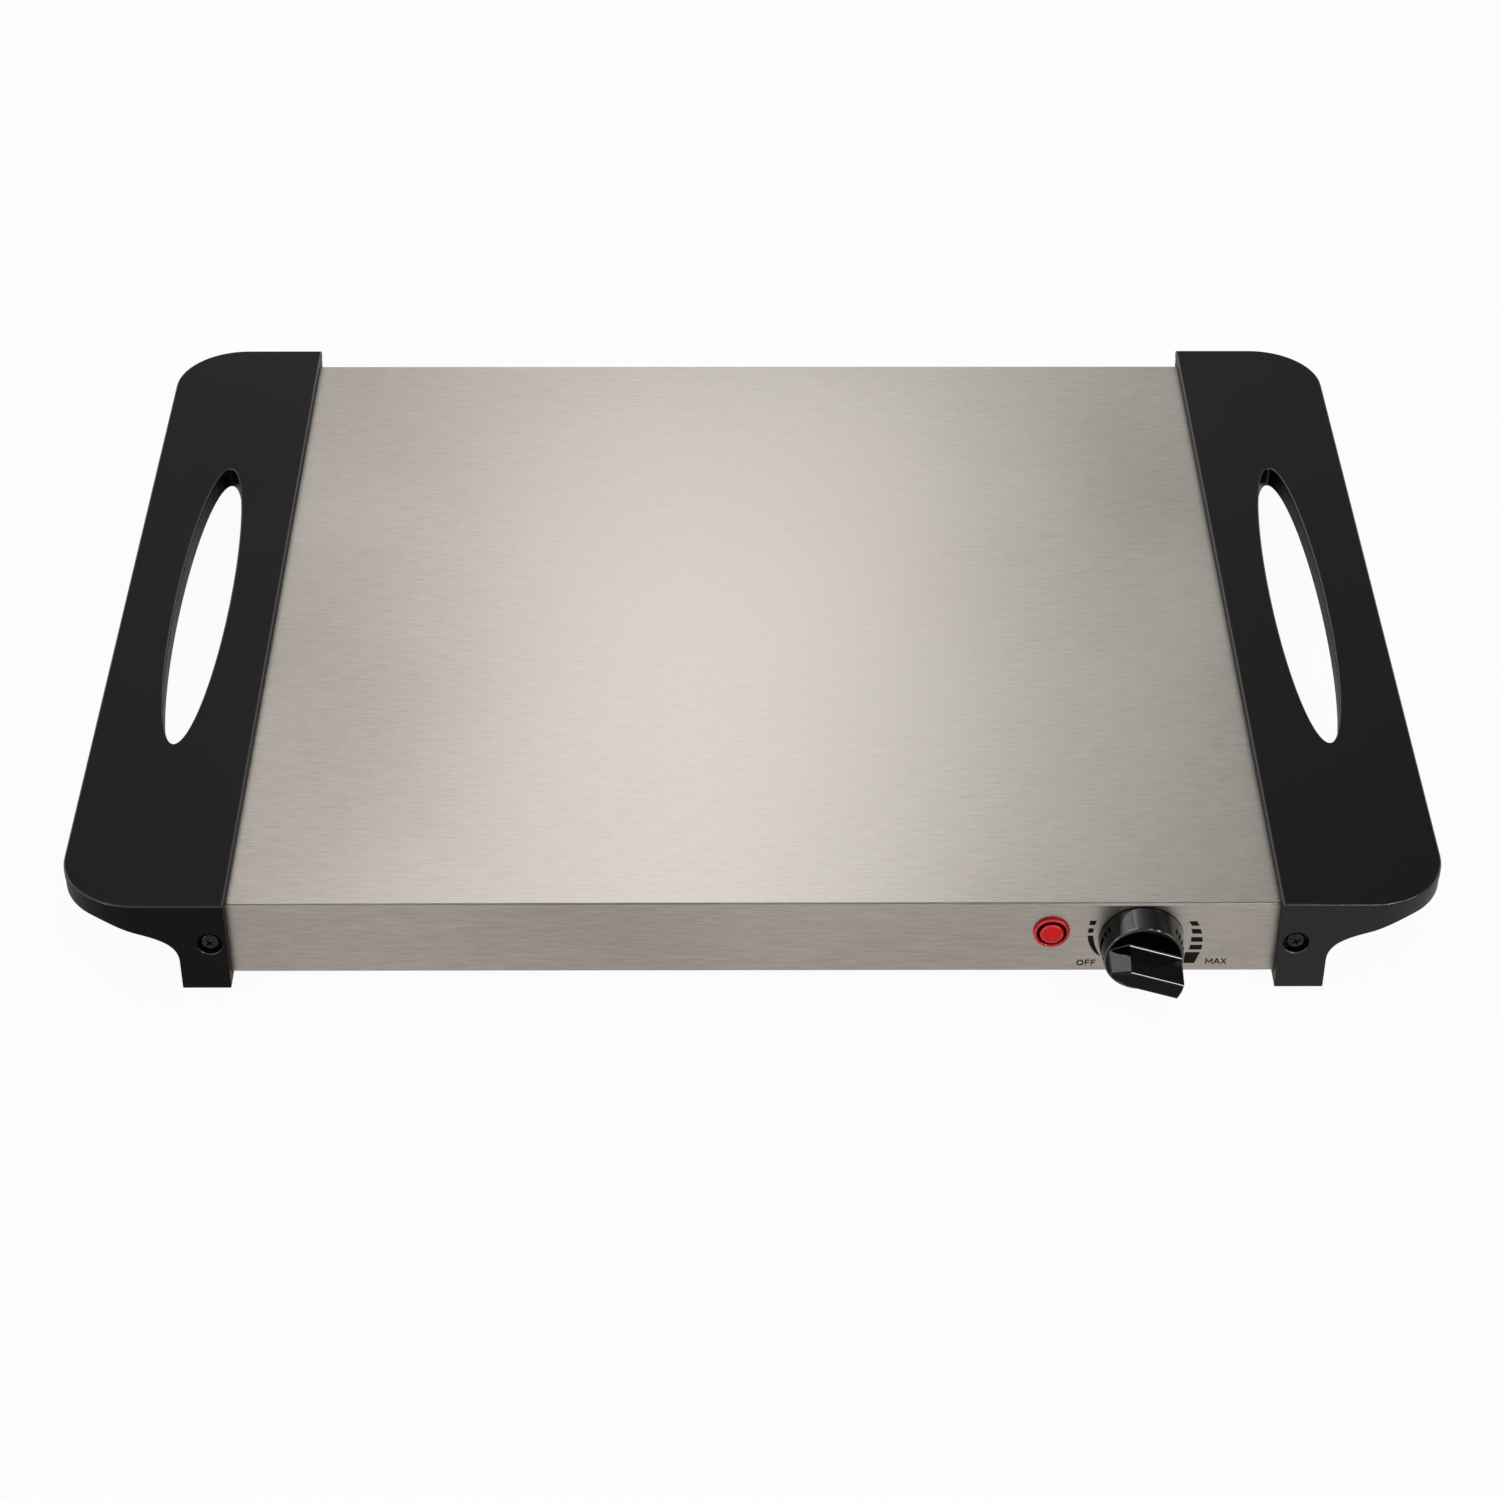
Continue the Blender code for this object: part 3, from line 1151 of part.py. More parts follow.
def make_terminal_block(tray, ceramic, brass):
    """The terminal block: a ridge along its middle, and for each pole a through bore and two screws."""
    y, low = BACK - BLOCK_FROM_BACK, PLATE_HIGH + FIT
    shoulder, high = low + BLOCK_SHOULDER, low + BLOCK_HEIGHT
    front, back = y - BLOCK_HALF_DEPTH, y + BLOCK_HALF_DEPTH
    ridge = BLOCK_RIDGE_HALF
    outline = [(front, low), (back, low), (back, shoulder), (y + ridge, shoulder), (y + ridge, high),
               (y - ridge, high), (y - ridge, shoulder), (front, shoulder)]
    bm = bmesh.new()
    prism(bm, outline, "X", BLOCK_X - BLOCK_HALF_LENGTH, BLOCK_X + BLOCK_HALF_LENGTH)
    block = piece("terminal_block", bm, ceramic, tray)

    screws, wells, bores = bmesh.new(), bmesh.new(), bmesh.new()
    floor = shoulder - TERMINAL_SCREW_LENGTH
    seats = []
    for x in POLE_PLACES:
        rod(bores, "Y", (x, low + POLE_HEIGHT), POLE_BORE, front - OVERRUN, back + OVERRUN, TINY_SIDES)
        for side in (-1, 1):
            place = (x, y + side * TERMINAL_SCREW_FROM_MIDDLE)
            rod(wells, "Z", place, TERMINAL_SCREW + FIT, floor, shoulder + OVERRUN, TINY_SIDES)
            seats.append((*place, floor + FIT, 0.0))
    cut(block, wells, "screw_wells")
    cut(block, bores, "pole_bores")
    rod(screws, "Z", (0.0, 0.0), TERMINAL_SCREW, 0.0, TERMINAL_SCREW_LENGTH, TINY_SIDES)
    copies("terminal_screw", screws, brass, tray, seats)


def make_earth(tray, brass, steel):
    """The earth tag, a ring with its crimp barrel, and the screw that holds it on the base plate."""
    x, y = EARTH_X, BACK - EARTH_FROM_BACK
    low = PLATE_HIGH + FIT
    high = low + EARTH_SHEET
    bm = bmesh.new()
    rod(bm, "Z", (x, y), EARTH_RING, low, high, PLAIN_SIDES)
    tag = piece("earth_tag", bm, brass, tray)
    bm = bmesh.new()
    start = y - EARTH_RING + BITE
    rod(bm, "Y", (x, low + FIT + EARTH_BARREL), EARTH_BARREL, start - EARTH_BARREL_LENGTH, start, TINY_SIDES)
    join(tag, bm, "barrel")
    bm = bmesh.new()
    rod(bm, "Z", (x, y), EARTH_SCREW_SHANK + FIT, low - OVERRUN, high + OVERRUN, TINY_SIDES)
    cut(tag, bm, "screw_hole")
    bm = bmesh.new()
    seat = high + FIT
    length = seat - (PLATE_LOW - OVERRUN)
    screw(bm, "Z", (x, y), seat, 1, EARTH_SCREW_HEAD, BASE_SCREW_HEAD_HEIGHT, EARTH_SCREW_SHANK,
          length, TINY_SIDES)
    piece("earth_screw", bm, steel, tray)


def make_cord_bush(tray, material):
    """The bush in the back flange: a collar outside, a waist in the hole and a lip inside."""
    inner = BACK - SHEET
    collar = BACK + FIT
    outer = collar + ENTRY_COLLAR_THICK
    lip = inner - FIT
    inmost = lip - ENTRY_LIP_THICK
    profile = [
        (ENTRY_BORE, outer), (ENTRY_COLLAR - FOLD_RADIUS, outer), (ENTRY_COLLAR, outer - FOLD_RADIUS),
        (ENTRY_COLLAR, collar), (ENTRY_WAIST, collar), (ENTRY_WAIST, lip), (ENTRY_LIP, lip),
        (ENTRY_WAIST, inmost), (ENTRY_BORE, inmost),
    ]
    bm = bmesh.new()
    turned(bm, "Y", (ENTRY_X, ENTRY_Z), profile, PLAIN_SIDES)
    piece("cord_bush", bm, material, tray)


def smooth_route(points):
    """Points on a smooth curve through a route's own points."""
    places = [Vector(point) for point in points]
    ends = [places[0]] + places + [places[-1]]
    route = []
    for before, start, end, after in zip(ends, ends[1:], ends[2:], ends[3:]):
        pull = (end - start).length / 3
        leave = start + (end - before).normalized() * pull
        arrive = end - (after - start).normalized() * pull
        route += interpolate_bezier(start, leave, arrive, end, LEAD_STEPS + 1)[:-1]
    return route + [places[-1]]


def from_front(points):
    return [(END - a, FRONT + b, c) for a, b, c in points]


def from_back(points):
    return [(END - a, BACK - b, c) for a, b, c in points]


def stub(place, axis, side):
    """A lead's end and the point next to it, square to what the lead meets."""
    step = Vector(place_in_plane(axis, 0.0, 0.0, side * LEAD_STUB))
    return [place, tuple(Vector(place) + step)]


def make_leads(tray, live, neutral, sleeve):
    """The leads, each from the piece that it starts at to the one that it ends at."""
    block_front = BACK - BLOCK_FROM_BACK - BLOCK_HALF_DEPTH - FIT
    pole_z = PLATE_HIGH + FIT + POLE_HEIGHT
    fuse_y = FRONT + FUSE_FROM_FRONT
    fuse_z = STEEL_UNDERSIDE - FIT - FUSE_RADIUS
    fuse_end = FUSE_HALF_LENGTH + FUSE_PIN_LENGTH + FIT
    pin_end = TUBE_END + FIT + PIN_LENGTH + FIT
    places = stack_places()
    contact_x, contact_y = KNOB_X + BLADE_TAG - LEAD_SPREAD, places["contact"][1] + FIT
    tag_x, tag_y = KNOB_X + BIMETAL_TAG - LEAD_SPREAD, places["bimetal"][1] + FIT
    lamp_y = FRONT + LAMP_BARREL_LENGTH + FIT

    supply = stub((POLE_PLACES[0], block_front, pole_z), "Y", -1) + from_back(SUPPLY_BACK)
    supply += from_front(SUPPLY_FRONT) + stub((FUSE_X - fuse_end, fuse_y, fuse_z), "X", -1)[::-1]
    fuse = stub((FUSE_X + fuse_end, fuse_y, fuse_z), "X", 1) + from_front(FUSE_FRONT)
    fuse += stub((contact_x, contact_y, KNOB_Z), "Y", 1)[::-1]
    element = stub((tag_x, tag_y, KNOB_Z - TAG_LEAD_SPREAD), "Y", 1) + from_front(ELEMENT_FRONT)
    element += stub((pin_end, RUN_PLACES[0], TUBE_Z), "X", 1)[::-1]
    back = stub((pin_end, RUN_PLACES[-1], TUBE_Z), "X", 1) + from_back(RETURN_BACK)
    back += stub((POLE_PLACES[1] + LEAD_SPREAD, block_front, pole_z), "Y", -1)[::-1]
    lamp_live = stub((LAMP_X + LEAD_SPREAD, lamp_y, LAMP_Z), "Y", 1) + from_front(LAMP_LIVE_FRONT)
    lamp_live += stub((tag_x, tag_y, KNOB_Z + TAG_LEAD_SPREAD), "Y", 1)[::-1]
    lamp_return = stub((LAMP_X - LEAD_SPREAD, lamp_y, LAMP_Z), "Y", 1) + from_front(LAMP_RETURN_FRONT)
    lamp_return += from_back(LAMP_RETURN_BACK)
    lamp_return += stub((POLE_PLACES[1] - LEAD_SPREAD, block_front, pole_z), "Y", -1)[::-1]

    tube("supply_lead", smooth_route(supply), LEAD_RADIUS, live, tray)
    tube("fuse_lead", smooth_route(fuse), LEAD_RADIUS, live, tray)
    tube("element_lead", smooth_route(element), LEAD_RADIUS, sleeve, tray)
    tube("return_lead", smooth_route(back), LEAD_RADIUS, neutral, tray)
    tube("lamp_live_lead", smooth_route(lamp_live), LEAD_RADIUS, sleeve, tray)
    tube("lamp_return_lead", smooth_route(lamp_return), LEAD_RADIUS, sleeve, tray)


# The whole tray

def make_warmer():
    tray = empty("tray_middle", (0.0, TRAY_MIDDLE_Y, 0.0))
    axis = empty("knob_axis", (KNOB_X, FRONT, KNOB_Z), tray)
    axis.rotation_euler.y = KNOB_SET

    brushed = surface("brushed_stainless", (168, 164, 158), 0.32, 1.0)
    satin_black = surface("satin_black_plastic", (38, 36, 35), 0.5)
    gloss_black = surface("gloss_black_plastic", (14, 14, 15), 0.15)
    plated = surface("plated_steel", (176, 176, 172), 0.35, 1.0)
    dark_screw = surface("dark_plated_screw", (92, 82, 74), 0.4, 1.0)
    base_steel = surface("coated_base_steel", (120, 121, 122), 0.5, 0.8)
    bright_aluminium = surface("bright_aluminium", (200, 201, 203), 0.3, 1.0)
    sheath = surface("element_sheath", (104, 98, 92), 0.45, 1.0)
    ceramic = surface("white_ceramic", (226, 222, 210), 0.55)
    mica = surface("mica_board", (176, 158, 120), 0.7)
    brass = surface("brass", (190, 160, 90), 0.35, 1.0)
    bimetal = surface("bimetal_strip", (150, 146, 140), 0.4, 1.0)
    red_lens = surface("red_lens", (190, 20, 24), 0.12)
    glass = surface("neon_glass", (236, 214, 196), 0.1)
    sleeve = surface("glass_fibre_sleeve", (232, 228, 216), 0.8)
    live = surface("live_insulation", (120, 66, 36), 0.6)
    neutral = surface("neutral_insulation", (52, 92, 150), 0.6)
    rubber = surface("black_rubber", (28, 28, 28), 0.8)

    make_top_tray(tray, brushed)
    make_base_plate(tray, base_steel)
    make_base_screws(tray, plated)
    make_end_cap(tray, satin_black, "right_end_cap", 1)
    make_end_cap(tray, satin_black, "left_end_cap", -1)
    make_cap_screws(tray, dark_screw)
    make_sheet(tray, bright_aluminium, "heat_spreader", SPREADER_HALF_LENGTH, SPREADER_HALF_DEPTH,
               SPREADER_CORNER, SPREADER_LOW, SPREADER_HIGH)
    make_sheet(tray, mica, "insulation_board", BOARD_HALF_LENGTH, BOARD_HALF_DEPTH,
               BOARD_CORNER, BOARD_LOW, BOARD_HIGH)
    make_heat_shield(tray, bright_aluminium)
    make_element(tray, sheath, ceramic, plated)
    make_clamp_bars(tray, plated)
    make_nuts(tray, plated)
    make_knob(axis, gloss_black)
    make_spindle(axis, plated)
    make_knob_clip(axis, bimetal)
    make_thermostat(tray, plated, brass, ceramic, bimetal)
    make_pilot_lamp(tray, red_lens, glass, plated)
    make_fuse(tray, sleeve, plated)
    make_terminal_block(tray, ceramic, brass)
    make_earth(tray, brass, plated)
    make_cord_bush(tray, rubber)
    make_leads(tray, live, neutral, sleeve)


make_warmer()
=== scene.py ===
# %% [markdown]
# An electric food warmer tray, as it stands on a table: one sheet of brushed stainless steel folded into a
# shallow box, two moulded black handles at its ends, a red pilot lamp and a black pointer knob.
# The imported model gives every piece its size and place. This file gives each piece that is seen its full
# shape and its finish, one after the other.

import json
from math import asin, cos, degrees, pi, radians, sin, sqrt

import bmesh
import bpy
from mathutils import Matrix, Vector


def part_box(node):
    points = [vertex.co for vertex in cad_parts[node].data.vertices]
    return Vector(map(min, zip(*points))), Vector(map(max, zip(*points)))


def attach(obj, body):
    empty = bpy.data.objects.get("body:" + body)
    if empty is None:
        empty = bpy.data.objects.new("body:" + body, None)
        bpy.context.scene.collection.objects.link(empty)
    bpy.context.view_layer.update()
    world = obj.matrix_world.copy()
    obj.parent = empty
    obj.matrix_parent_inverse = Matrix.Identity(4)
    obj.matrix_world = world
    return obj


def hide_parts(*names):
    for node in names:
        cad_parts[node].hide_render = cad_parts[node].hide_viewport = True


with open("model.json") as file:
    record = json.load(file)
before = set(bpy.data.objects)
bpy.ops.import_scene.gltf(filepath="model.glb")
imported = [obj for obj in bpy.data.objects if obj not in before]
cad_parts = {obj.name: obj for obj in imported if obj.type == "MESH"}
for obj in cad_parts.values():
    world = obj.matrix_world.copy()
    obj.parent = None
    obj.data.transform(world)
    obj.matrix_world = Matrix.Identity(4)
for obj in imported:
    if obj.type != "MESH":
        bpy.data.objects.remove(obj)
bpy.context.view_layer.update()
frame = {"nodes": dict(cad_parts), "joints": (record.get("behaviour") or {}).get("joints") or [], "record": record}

# %% [markdown]
# The camera stands where the photograph was taken, in front of the tray and well above it, with a long lens.
# It could be aimed with a constraint, but three plain turns are easier to read, and nothing moves it later.

# %% Camera
LENS_LENGTH = 84.02
SENSOR_WIDTH = 36.0
LENS_PLACE = (-0.00729, -1.17907, 0.87359)
LENS_HEADING = radians(-0.340)
LENS_PITCH = radians(52.49)
LENS_ROLL = radians(0.148)

camera = bpy.data.objects.new("camera", bpy.data.cameras.new("camera"))
camera.data.lens = LENS_LENGTH
camera.data.sensor_width = SENSOR_WIDTH
camera.matrix_world = (
    Matrix.Translation(LENS_PLACE)
    @ Matrix.Rotation(LENS_HEADING, 4, "Z")
    @ Matrix.Rotation(LENS_PITCH, 4, "X")
    @ Matrix.Rotation(LENS_ROLL, 4, "Z")
)
bpy.context.scene.collection.objects.link(camera)
bpy.context.scene.camera = camera
print("Camera at", LENS_PLACE)

# %% [markdown]
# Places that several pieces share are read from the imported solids, so that a piece that is made here always
# sits where its solid is. The few sizes that can't be read from a box are written down, in metres.

# %% Shared places
tray_low, tray_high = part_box("top_tray")
cap_low, cap_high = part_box("right_end_cap")
FRONT, BACK = tray_low.y, tray_high.y
TRAY_TOP, TRAY_BOTTOM = tray_high.z, tray_low.z
TRAY_HALF = tray_high.x
MIDDLE_Y = (FRONT + BACK) / 2
TRAY_HALF_DEPTH = (BACK - FRONT) / 2
KNOB = Vector(frame["joints"][0]["pos_m"])
KNOB_BASE_RADIUS = 0.016
FIT = 0.0003
OVERRUN = 0.002
BITE = 0.0006
SAME_POINT = 0.000003


def axis_of(low, high):
    """Where the axis of a round piece along Y crosses the flange, as (x, z), from its box."""
    return (low.x + high.x) / 2, (low.z + high.z) / 2


LAMP = axis_of(*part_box("pilot_lamp_lens"))
ENTRY = axis_of(*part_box("cord_bush"))
CAP_SCREW = axis_of(*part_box("end_cap_screw_2"))
print("Tray", TRAY_HALF * 2, "long; front", FRONT, "back", BACK, "top", TRAY_TOP)
print("Knob axis", tuple(KNOB), "lamp", LAMP, "cord", ENTRY)

# %% [markdown]
# A picture needs something to stand on and something to be lit by. The floor is pale and plain. The room is
# white to the camera, darker towards the ceiling where a piece mirrors it, and softer where it only fills
# shadows. One way is an image of a real studio. A plain world with a few soft panels is used here, because
# it gives calm, even reflections on brushed steel and needs no file.

# %% Floor, room and lamps
FLOOR_SIZE = 8.0
FLOOR_DROP = 0.0002
FLOOR_SHADE = (0.86, 0.86, 0.86, 1.0)
FLOOR_GLOW = 0.95
ROOM_FILL = (1.0, 0.99, 0.975, 1.0)
ROOM_LEAN = 0.5
WHITE = (1.0, 1.0, 1.0, 1.0)
ROOM_STOPS = ((0.48, WHITE), (0.88, (0.36, 0.36, 0.37, 1.0)))
COOL, PLAIN = (0.92, 0.965, 1.0), (1.0, 1.0, 1.0)
TRAY_MIDDLE = (0.0, 0.0, 0.03)
PANELS = {
    "back_panel": ((-0.02, 1.78, 1.1), (-0.02, 1.54, 1.43), 0.5, TRAY_MIDDLE, 2.1, COOL),
    "high_panel": ((-0.117, 1.145, 1.337), (-0.097, 1.047, 1.433), 0.5, KNOB, 1.7, COOL),
    "side_panel": ((2.04, -0.96, 0.33), (1.76, -0.84, 1.17), 0.5, (0.1, -0.15, 0.03), 4.4, COOL),
    "top_panel": ((-0.7, 0.4, 1.85), (-0.7, 1.0, 1.75), 0.8, TRAY_MIDDLE, 5.0, PLAIN),
    "strip_panel": ((0.98, -1.36, 0.88), (1.1, -0.69, 1.3), 0.13, KNOB, 5.0, COOL),
    "edge_panel": ((0.6, -1.12, 1.3), (0.6, -1.0, 1.4), 0.24, (0.24, -0.2, 0.04), 2.2, COOL),
    "left_panel": ((-1.085, -0.979, 0.16), (-1.085, -0.979, 0.55), 0.1, KNOB, 1.2, COOL),
}


def new_material(name):
    """An empty node material with its output."""
    made = bpy.data.materials.new(name)
    made.use_nodes = True
    made.node_tree.nodes.clear()
    output = made.node_tree.nodes.new("ShaderNodeOutputMaterial")
    return made, made.node_tree, output


def add(tree, kind, **values):
    """A node in a tree, with its sockets and settings given by name."""
    node = tree.nodes.new(kind)
    for name, value in values.items():
        if name in node.inputs.keys():
            node.inputs[name].default_value = value
        else:
            setattr(node, name, value)
    return node


def wire(tree, *pairs):
    """Links each output to its input."""
    for source, socket in pairs:
        tree.links.new(source, socket)


def feed(tree, sockets, values):
    """Gives each socket its number, or the output that drives it."""
    for socket, value in zip(sockets, values):
        if isinstance(value, (int, float, tuple)):
            socket.default_value = value
        else:
            tree.links.new(value, socket)


def math(tree, operation, *values):
    node = add(tree, "ShaderNodeMath", operation=operation)
    feed(tree, node.inputs, values)
    return node.outputs[0]


def vector_math(tree, operation, *values):
    node = add(tree, "ShaderNodeVectorMath", operation=operation)
    feed(tree, node.inputs, values)
    return node.outputs


def ramp(tree, value, stops):
    """A colour ramp through (place, colour) stops, driven by a value."""
    node = add(tree, "ShaderNodeValToRGB")
    elements = node.color_ramp.elements
    elements[0].position, elements[0].color = stops[0]
    elements[1].position, elements[1].color = stops[-1]
    for place, color in stops[1:-1]:
        elements.new(place).color = color
    tree.links.new(value, node.inputs["Fac"])
    return node.outputs["Color"]


def parts_of(tree, kind):
    """X, Y and Z of one kind of texture coordinates."""
    where = add(tree, "ShaderNodeTexCoord")
    parts = add(tree, "ShaderNodeSeparateXYZ")
    tree.links.new(where.outputs[kind], parts.inputs[0])
    return parts.outputs


def seen_straight(tree):
    """1 for a ray from the camera, or one mirrored or let through by a piece, and 0 for the rest."""
    path = add(tree, "ShaderNodeLightPath")
    first = math(tree, "MAXIMUM", path.outputs["Is Camera Ray"], path.outputs["Is Glossy Ray"])
    return math(tree, "MAXIMUM", first, path.outputs["Is Transmission Ray"])


def lay_floor():
    bpy.ops.mesh.primitive_plane_add(size=FLOOR_SIZE, location=(0.0, 0.0, -FLOOR_DROP))
    floor = bpy.context.object
    floor.name = "floor"
    paper, tree, output = new_material("pale_paper")
    lit = add(tree, "ShaderNodeBsdfDiffuse", Color=FLOOR_SHADE)
    plain = add(tree, "ShaderNodeEmission", Color=WHITE, Strength=1.0)
    blend = add(tree, "ShaderNodeMixShader")
    share = math(tree, "MULTIPLY", seen_straight(tree), FLOOR_GLOW)
    wire(
        tree, (share, blend.inputs["Fac"]), (lit.outputs[0], blend.inputs[1]),
        (plain.outputs[0], blend.inputs[2]), (blend.outputs[0], output.inputs["Surface"]),
    )
    floor.data.materials.append(paper)


def light_room():
    """White where it is looked at, darker to the ceiling and the right in reflections, even as fill."""
    room = bpy.data.worlds.new("room")
    bpy.context.scene.world = room
    room.use_nodes = True
    tree = room.node_tree
    tree.nodes.clear()
    output = add(tree, "ShaderNodeOutputWorld")
    fill = add(tree, "ShaderNodeBackground", Color=ROOM_FILL, Strength=0.42)
    white = add(tree, "ShaderNodeBackground", Color=WHITE, Strength=1.0)
    mirrored = add(tree, "ShaderNodeBackground", Strength=1.0)
    path = add(tree, "ShaderNodeLightPath")
    way = parts_of(tree, "Generated")
    lean = math(tree, "MULTIPLY_ADD", way["X"], ROOM_LEAN, way["Z"])
    through = math(tree, "MAXIMUM", path.outputs["Is Glossy Ray"], path.outputs["Is Transmission Ray"])
    first = add(tree, "ShaderNodeMixShader")
    second = add(tree, "ShaderNodeMixShader")
    wire(
        tree, (ramp(tree, lean, ROOM_STOPS), mirrored.inputs["Color"]), (through, first.inputs["Fac"]),
        (fill.outputs[0], first.inputs[1]), (mirrored.outputs[0], first.inputs[2]),
        (path.outputs["Is Camera Ray"], second.inputs["Fac"]), (first.outputs[0], second.inputs[1]),
        (white.outputs[0], second.inputs[2]), (second.outputs[0], output.inputs["Surface"]),
    )


def soft_panel(name, low, high, width, target, power, color):
    """A rectangular lamp between the middles of its low and high edges, which faces a point."""
    low, high = Vector(low), Vector(high)
    place = (low + high) / 2
    back = (place - Vector(target)).normalized()
    side = (high - low).cross(back).normalized()
    lamp = bpy.data.lights.new(name, "AREA")
    lamp.shape = "RECTANGLE"
    lamp.size, lamp.size_y = width, (high - low).length
    lamp.energy = power
    lamp.color = color
    held = bpy.data.objects.new(name, lamp)
    held.location = place
    held.rotation_euler = Matrix((side, back.cross(side), back)).transposed().to_euler()
    bpy.context.scene.collection.objects.link(held)


lay_floor()
light_room()
for name, panel in PANELS.items():
    soft_panel(name, *panel)
bpy.context.scene.view_settings.view_transform = "Standard"

# %% [markdown]
# Most pieces start in the same few ways at the bench: an outline is drawn on a flat face, the face is pulled
# up into a block, or a profile is spun on a lathe. These helpers do just that with Blender's own edit-mode
# tools, so the later cells can stay short.

# %% Drawing, pulling and turning


def in_plane(axis, a, b, along):
    """A point from its two coordinates across an axis, Y or Z, and its place along it."""
    return (a, along, b) if axis == "Y" else (a, b, along)


def arc(centre, radius, start, end, steps):
    """Points along an arc, with angles in degrees."""
    turns = [radians(start + (end - start) * i / steps) for i in range(steps + 1)]
    return [(centre[0] + radius * cos(a), centre[1] + radius * sin(a)) for a in turns]


def ellipse(centre, half_a, half_b, sides):
    ring = arc((0, 0), 1.0, 0.0, 360.0, sides)[:-1]
    return [(centre[0] + half_a * x, centre[1] + half_b * y) for x, y in ring]


def quarter(steps):
    """The angles of a quarter turn, with both its ends."""
    return [pi / 2 * i / steps for i in range(steps + 1)]


def rectangle(low, high):
    return [(low[0], low[1]), (high[0], low[1]), (high[0], high[1]), (low[0], high[1])]


def pick(*pieces):
    """Selects these pieces and no others, with the first one active."""
    bpy.ops.object.select_all(action="DESELECT")
    for piece in pieces:
        piece.select_set(True)
    bpy.context.view_layer.objects.active = pieces[0]


def edit(piece):
    """Opens one piece, and only that one, in edit mode."""
    pick(piece)
    bpy.ops.object.mode_set(mode="EDIT")


def leave():
    bpy.ops.object.mode_set(mode="OBJECT")
    bpy.ops.object.select_all(action="DESELECT")


def choose_edges(piece, test):
    """Opens a piece in edit mode with just the edges that pass a test selected. Says if there are any."""
    edit(piece)
    bpy.ops.mesh.select_mode(type="EDGE")
    bpy.ops.mesh.select_all(action="DESELECT")
    shape = bmesh.from_edit_mesh(piece.data)
    for edge in shape.edges:
        edge.select_set(test(edge))
    bmesh.update_edit_mesh(piece.data)
    return any(edge.select for edge in shape.edges)


def face_out(piece):
    """Merges doubled points and turns every face outwards."""
    edit(piece)
    bpy.ops.mesh.select_all(action="SELECT")
    bpy.ops.mesh.remove_doubles(threshold=SAME_POINT)
    bpy.ops.mesh.normals_make_consistent(inside=False)
    leave()
    return piece


def draw(name, outline, axis, along, filled=True):
    """A flat face, or just its edges, with one corner at each point of an outline."""
    fill = "NGON" if filled else "NOTHING"
    bpy.ops.mesh.primitive_circle_add(vertices=len(outline), radius=0.01, fill_type=fill)
    piece = bpy.context.object
    piece.name = piece.data.name = name
    for corner, (a, b) in zip(piece.data.vertices, outline):
        corner.co = in_plane(axis, a, b, along)
    return piece


def pull(piece, axis, layers):
    """Extrudes the end face once for each (outline, place), and drags its corners to that outline."""
    edit(piece)
    bpy.ops.mesh.select_all(action="SELECT")
    shape = bmesh.from_edit_mesh(piece.data)
    shape.verts.ensure_lookup_table()
    ring = [v.co.copy() for v in shape.verts]
    for outline, along in layers:
        bpy.ops.mesh.extrude_region_move(TRANSFORM_OT_translate={"value": (0.0, 0.0, 0.0)})
        shape = bmesh.from_edit_mesh(piece.data)
        corners = [v for v in shape.verts if v.select]
        targets = [Vector(in_plane(axis, a, b, along)) for a, b in outline]
        for corner in corners:
            nearest = min(range(len(ring)), key=lambda i: (ring[i] - corner.co).length_squared)
            corner.co = targets[nearest]
        bmesh.update_edit_mesh(piece.data)
        ring = targets
    leave()
    return face_out(piece)


def block(name, axis, layers):
    """A solid through two or more outlines, each with its place along an axis."""
    (outline, along), rest = layers[0], layers[1:]
    return pull(draw(name, outline, axis, along), axis, rest)


def prism(name, axis, outline, start, end):
    """A solid with the same outline from start to end."""
    return block(name, axis, [(outline, start), (outline, end)])


def lathe(name, x, z, profile, sides):
    """Spins a closed profile of (radius, place) points round an axis along Y."""
    piece = draw(name, [(x + r, y) for r, y in profile], "Z", z, filled=False)
    on_axis = [r < SAME_POINT for r, y in profile]
    if choose_edges(piece, lambda edge: all(on_axis[v.index] for v in edge.verts)):
        bpy.ops.mesh.delete(type="EDGE")
    bpy.ops.mesh.select_mode(type="VERT")
    bpy.ops.mesh.select_all(action="SELECT")
    bpy.ops.mesh.spin(steps=sides, angle=2 * pi, center=(x, 0.0, z), axis=(0.0, 1.0, 0.0))
    leave()
    return face_out(piece)


def work(piece, kind, **settings):
    """Adds a modifier with its settings and applies it."""
    step = piece.modifiers.new("step", kind)
    for name, value in settings.items():
        setattr(step, name, value)
    bpy.context.view_layer.objects.active = piece
    bpy.ops.object.modifier_apply(modifier=step.name)


def fit_tool(piece, tool, operation):
    """Cuts a tool's shape from a piece, or joins it on, and throws the tool away."""
    work(piece, "BOOLEAN", operation=operation, solver="EXACT", object=tool)
    bpy.data.objects.remove(tool)


def cut(piece, tool):
    fit_tool(piece, tool, "DIFFERENCE")


def join(piece, tool):
    fit_tool(piece, tool, "UNION")


def smooth(piece, angle=35.0):
    """Smooth shading between faces that meet gently, with flat faces kept flat."""
    pick(piece)
    bpy.ops.object.shade_smooth_by_angle(angle=radians(angle))
    work(piece, "WEIGHTED_NORMAL", keep_sharp=True)
    return piece


def copy_of(piece, name, matrix):
    """A copy with its own mesh, moved, turned or mirrored in that mesh."""
    twin = bpy.data.objects.new(name, piece.data.copy())
    twin.data.name = name
    bpy.context.scene.collection.objects.link(twin)
    twin.data.transform(matrix)
    if matrix.determinant() < 0:
        twin.data.flip_normals()
    return twin


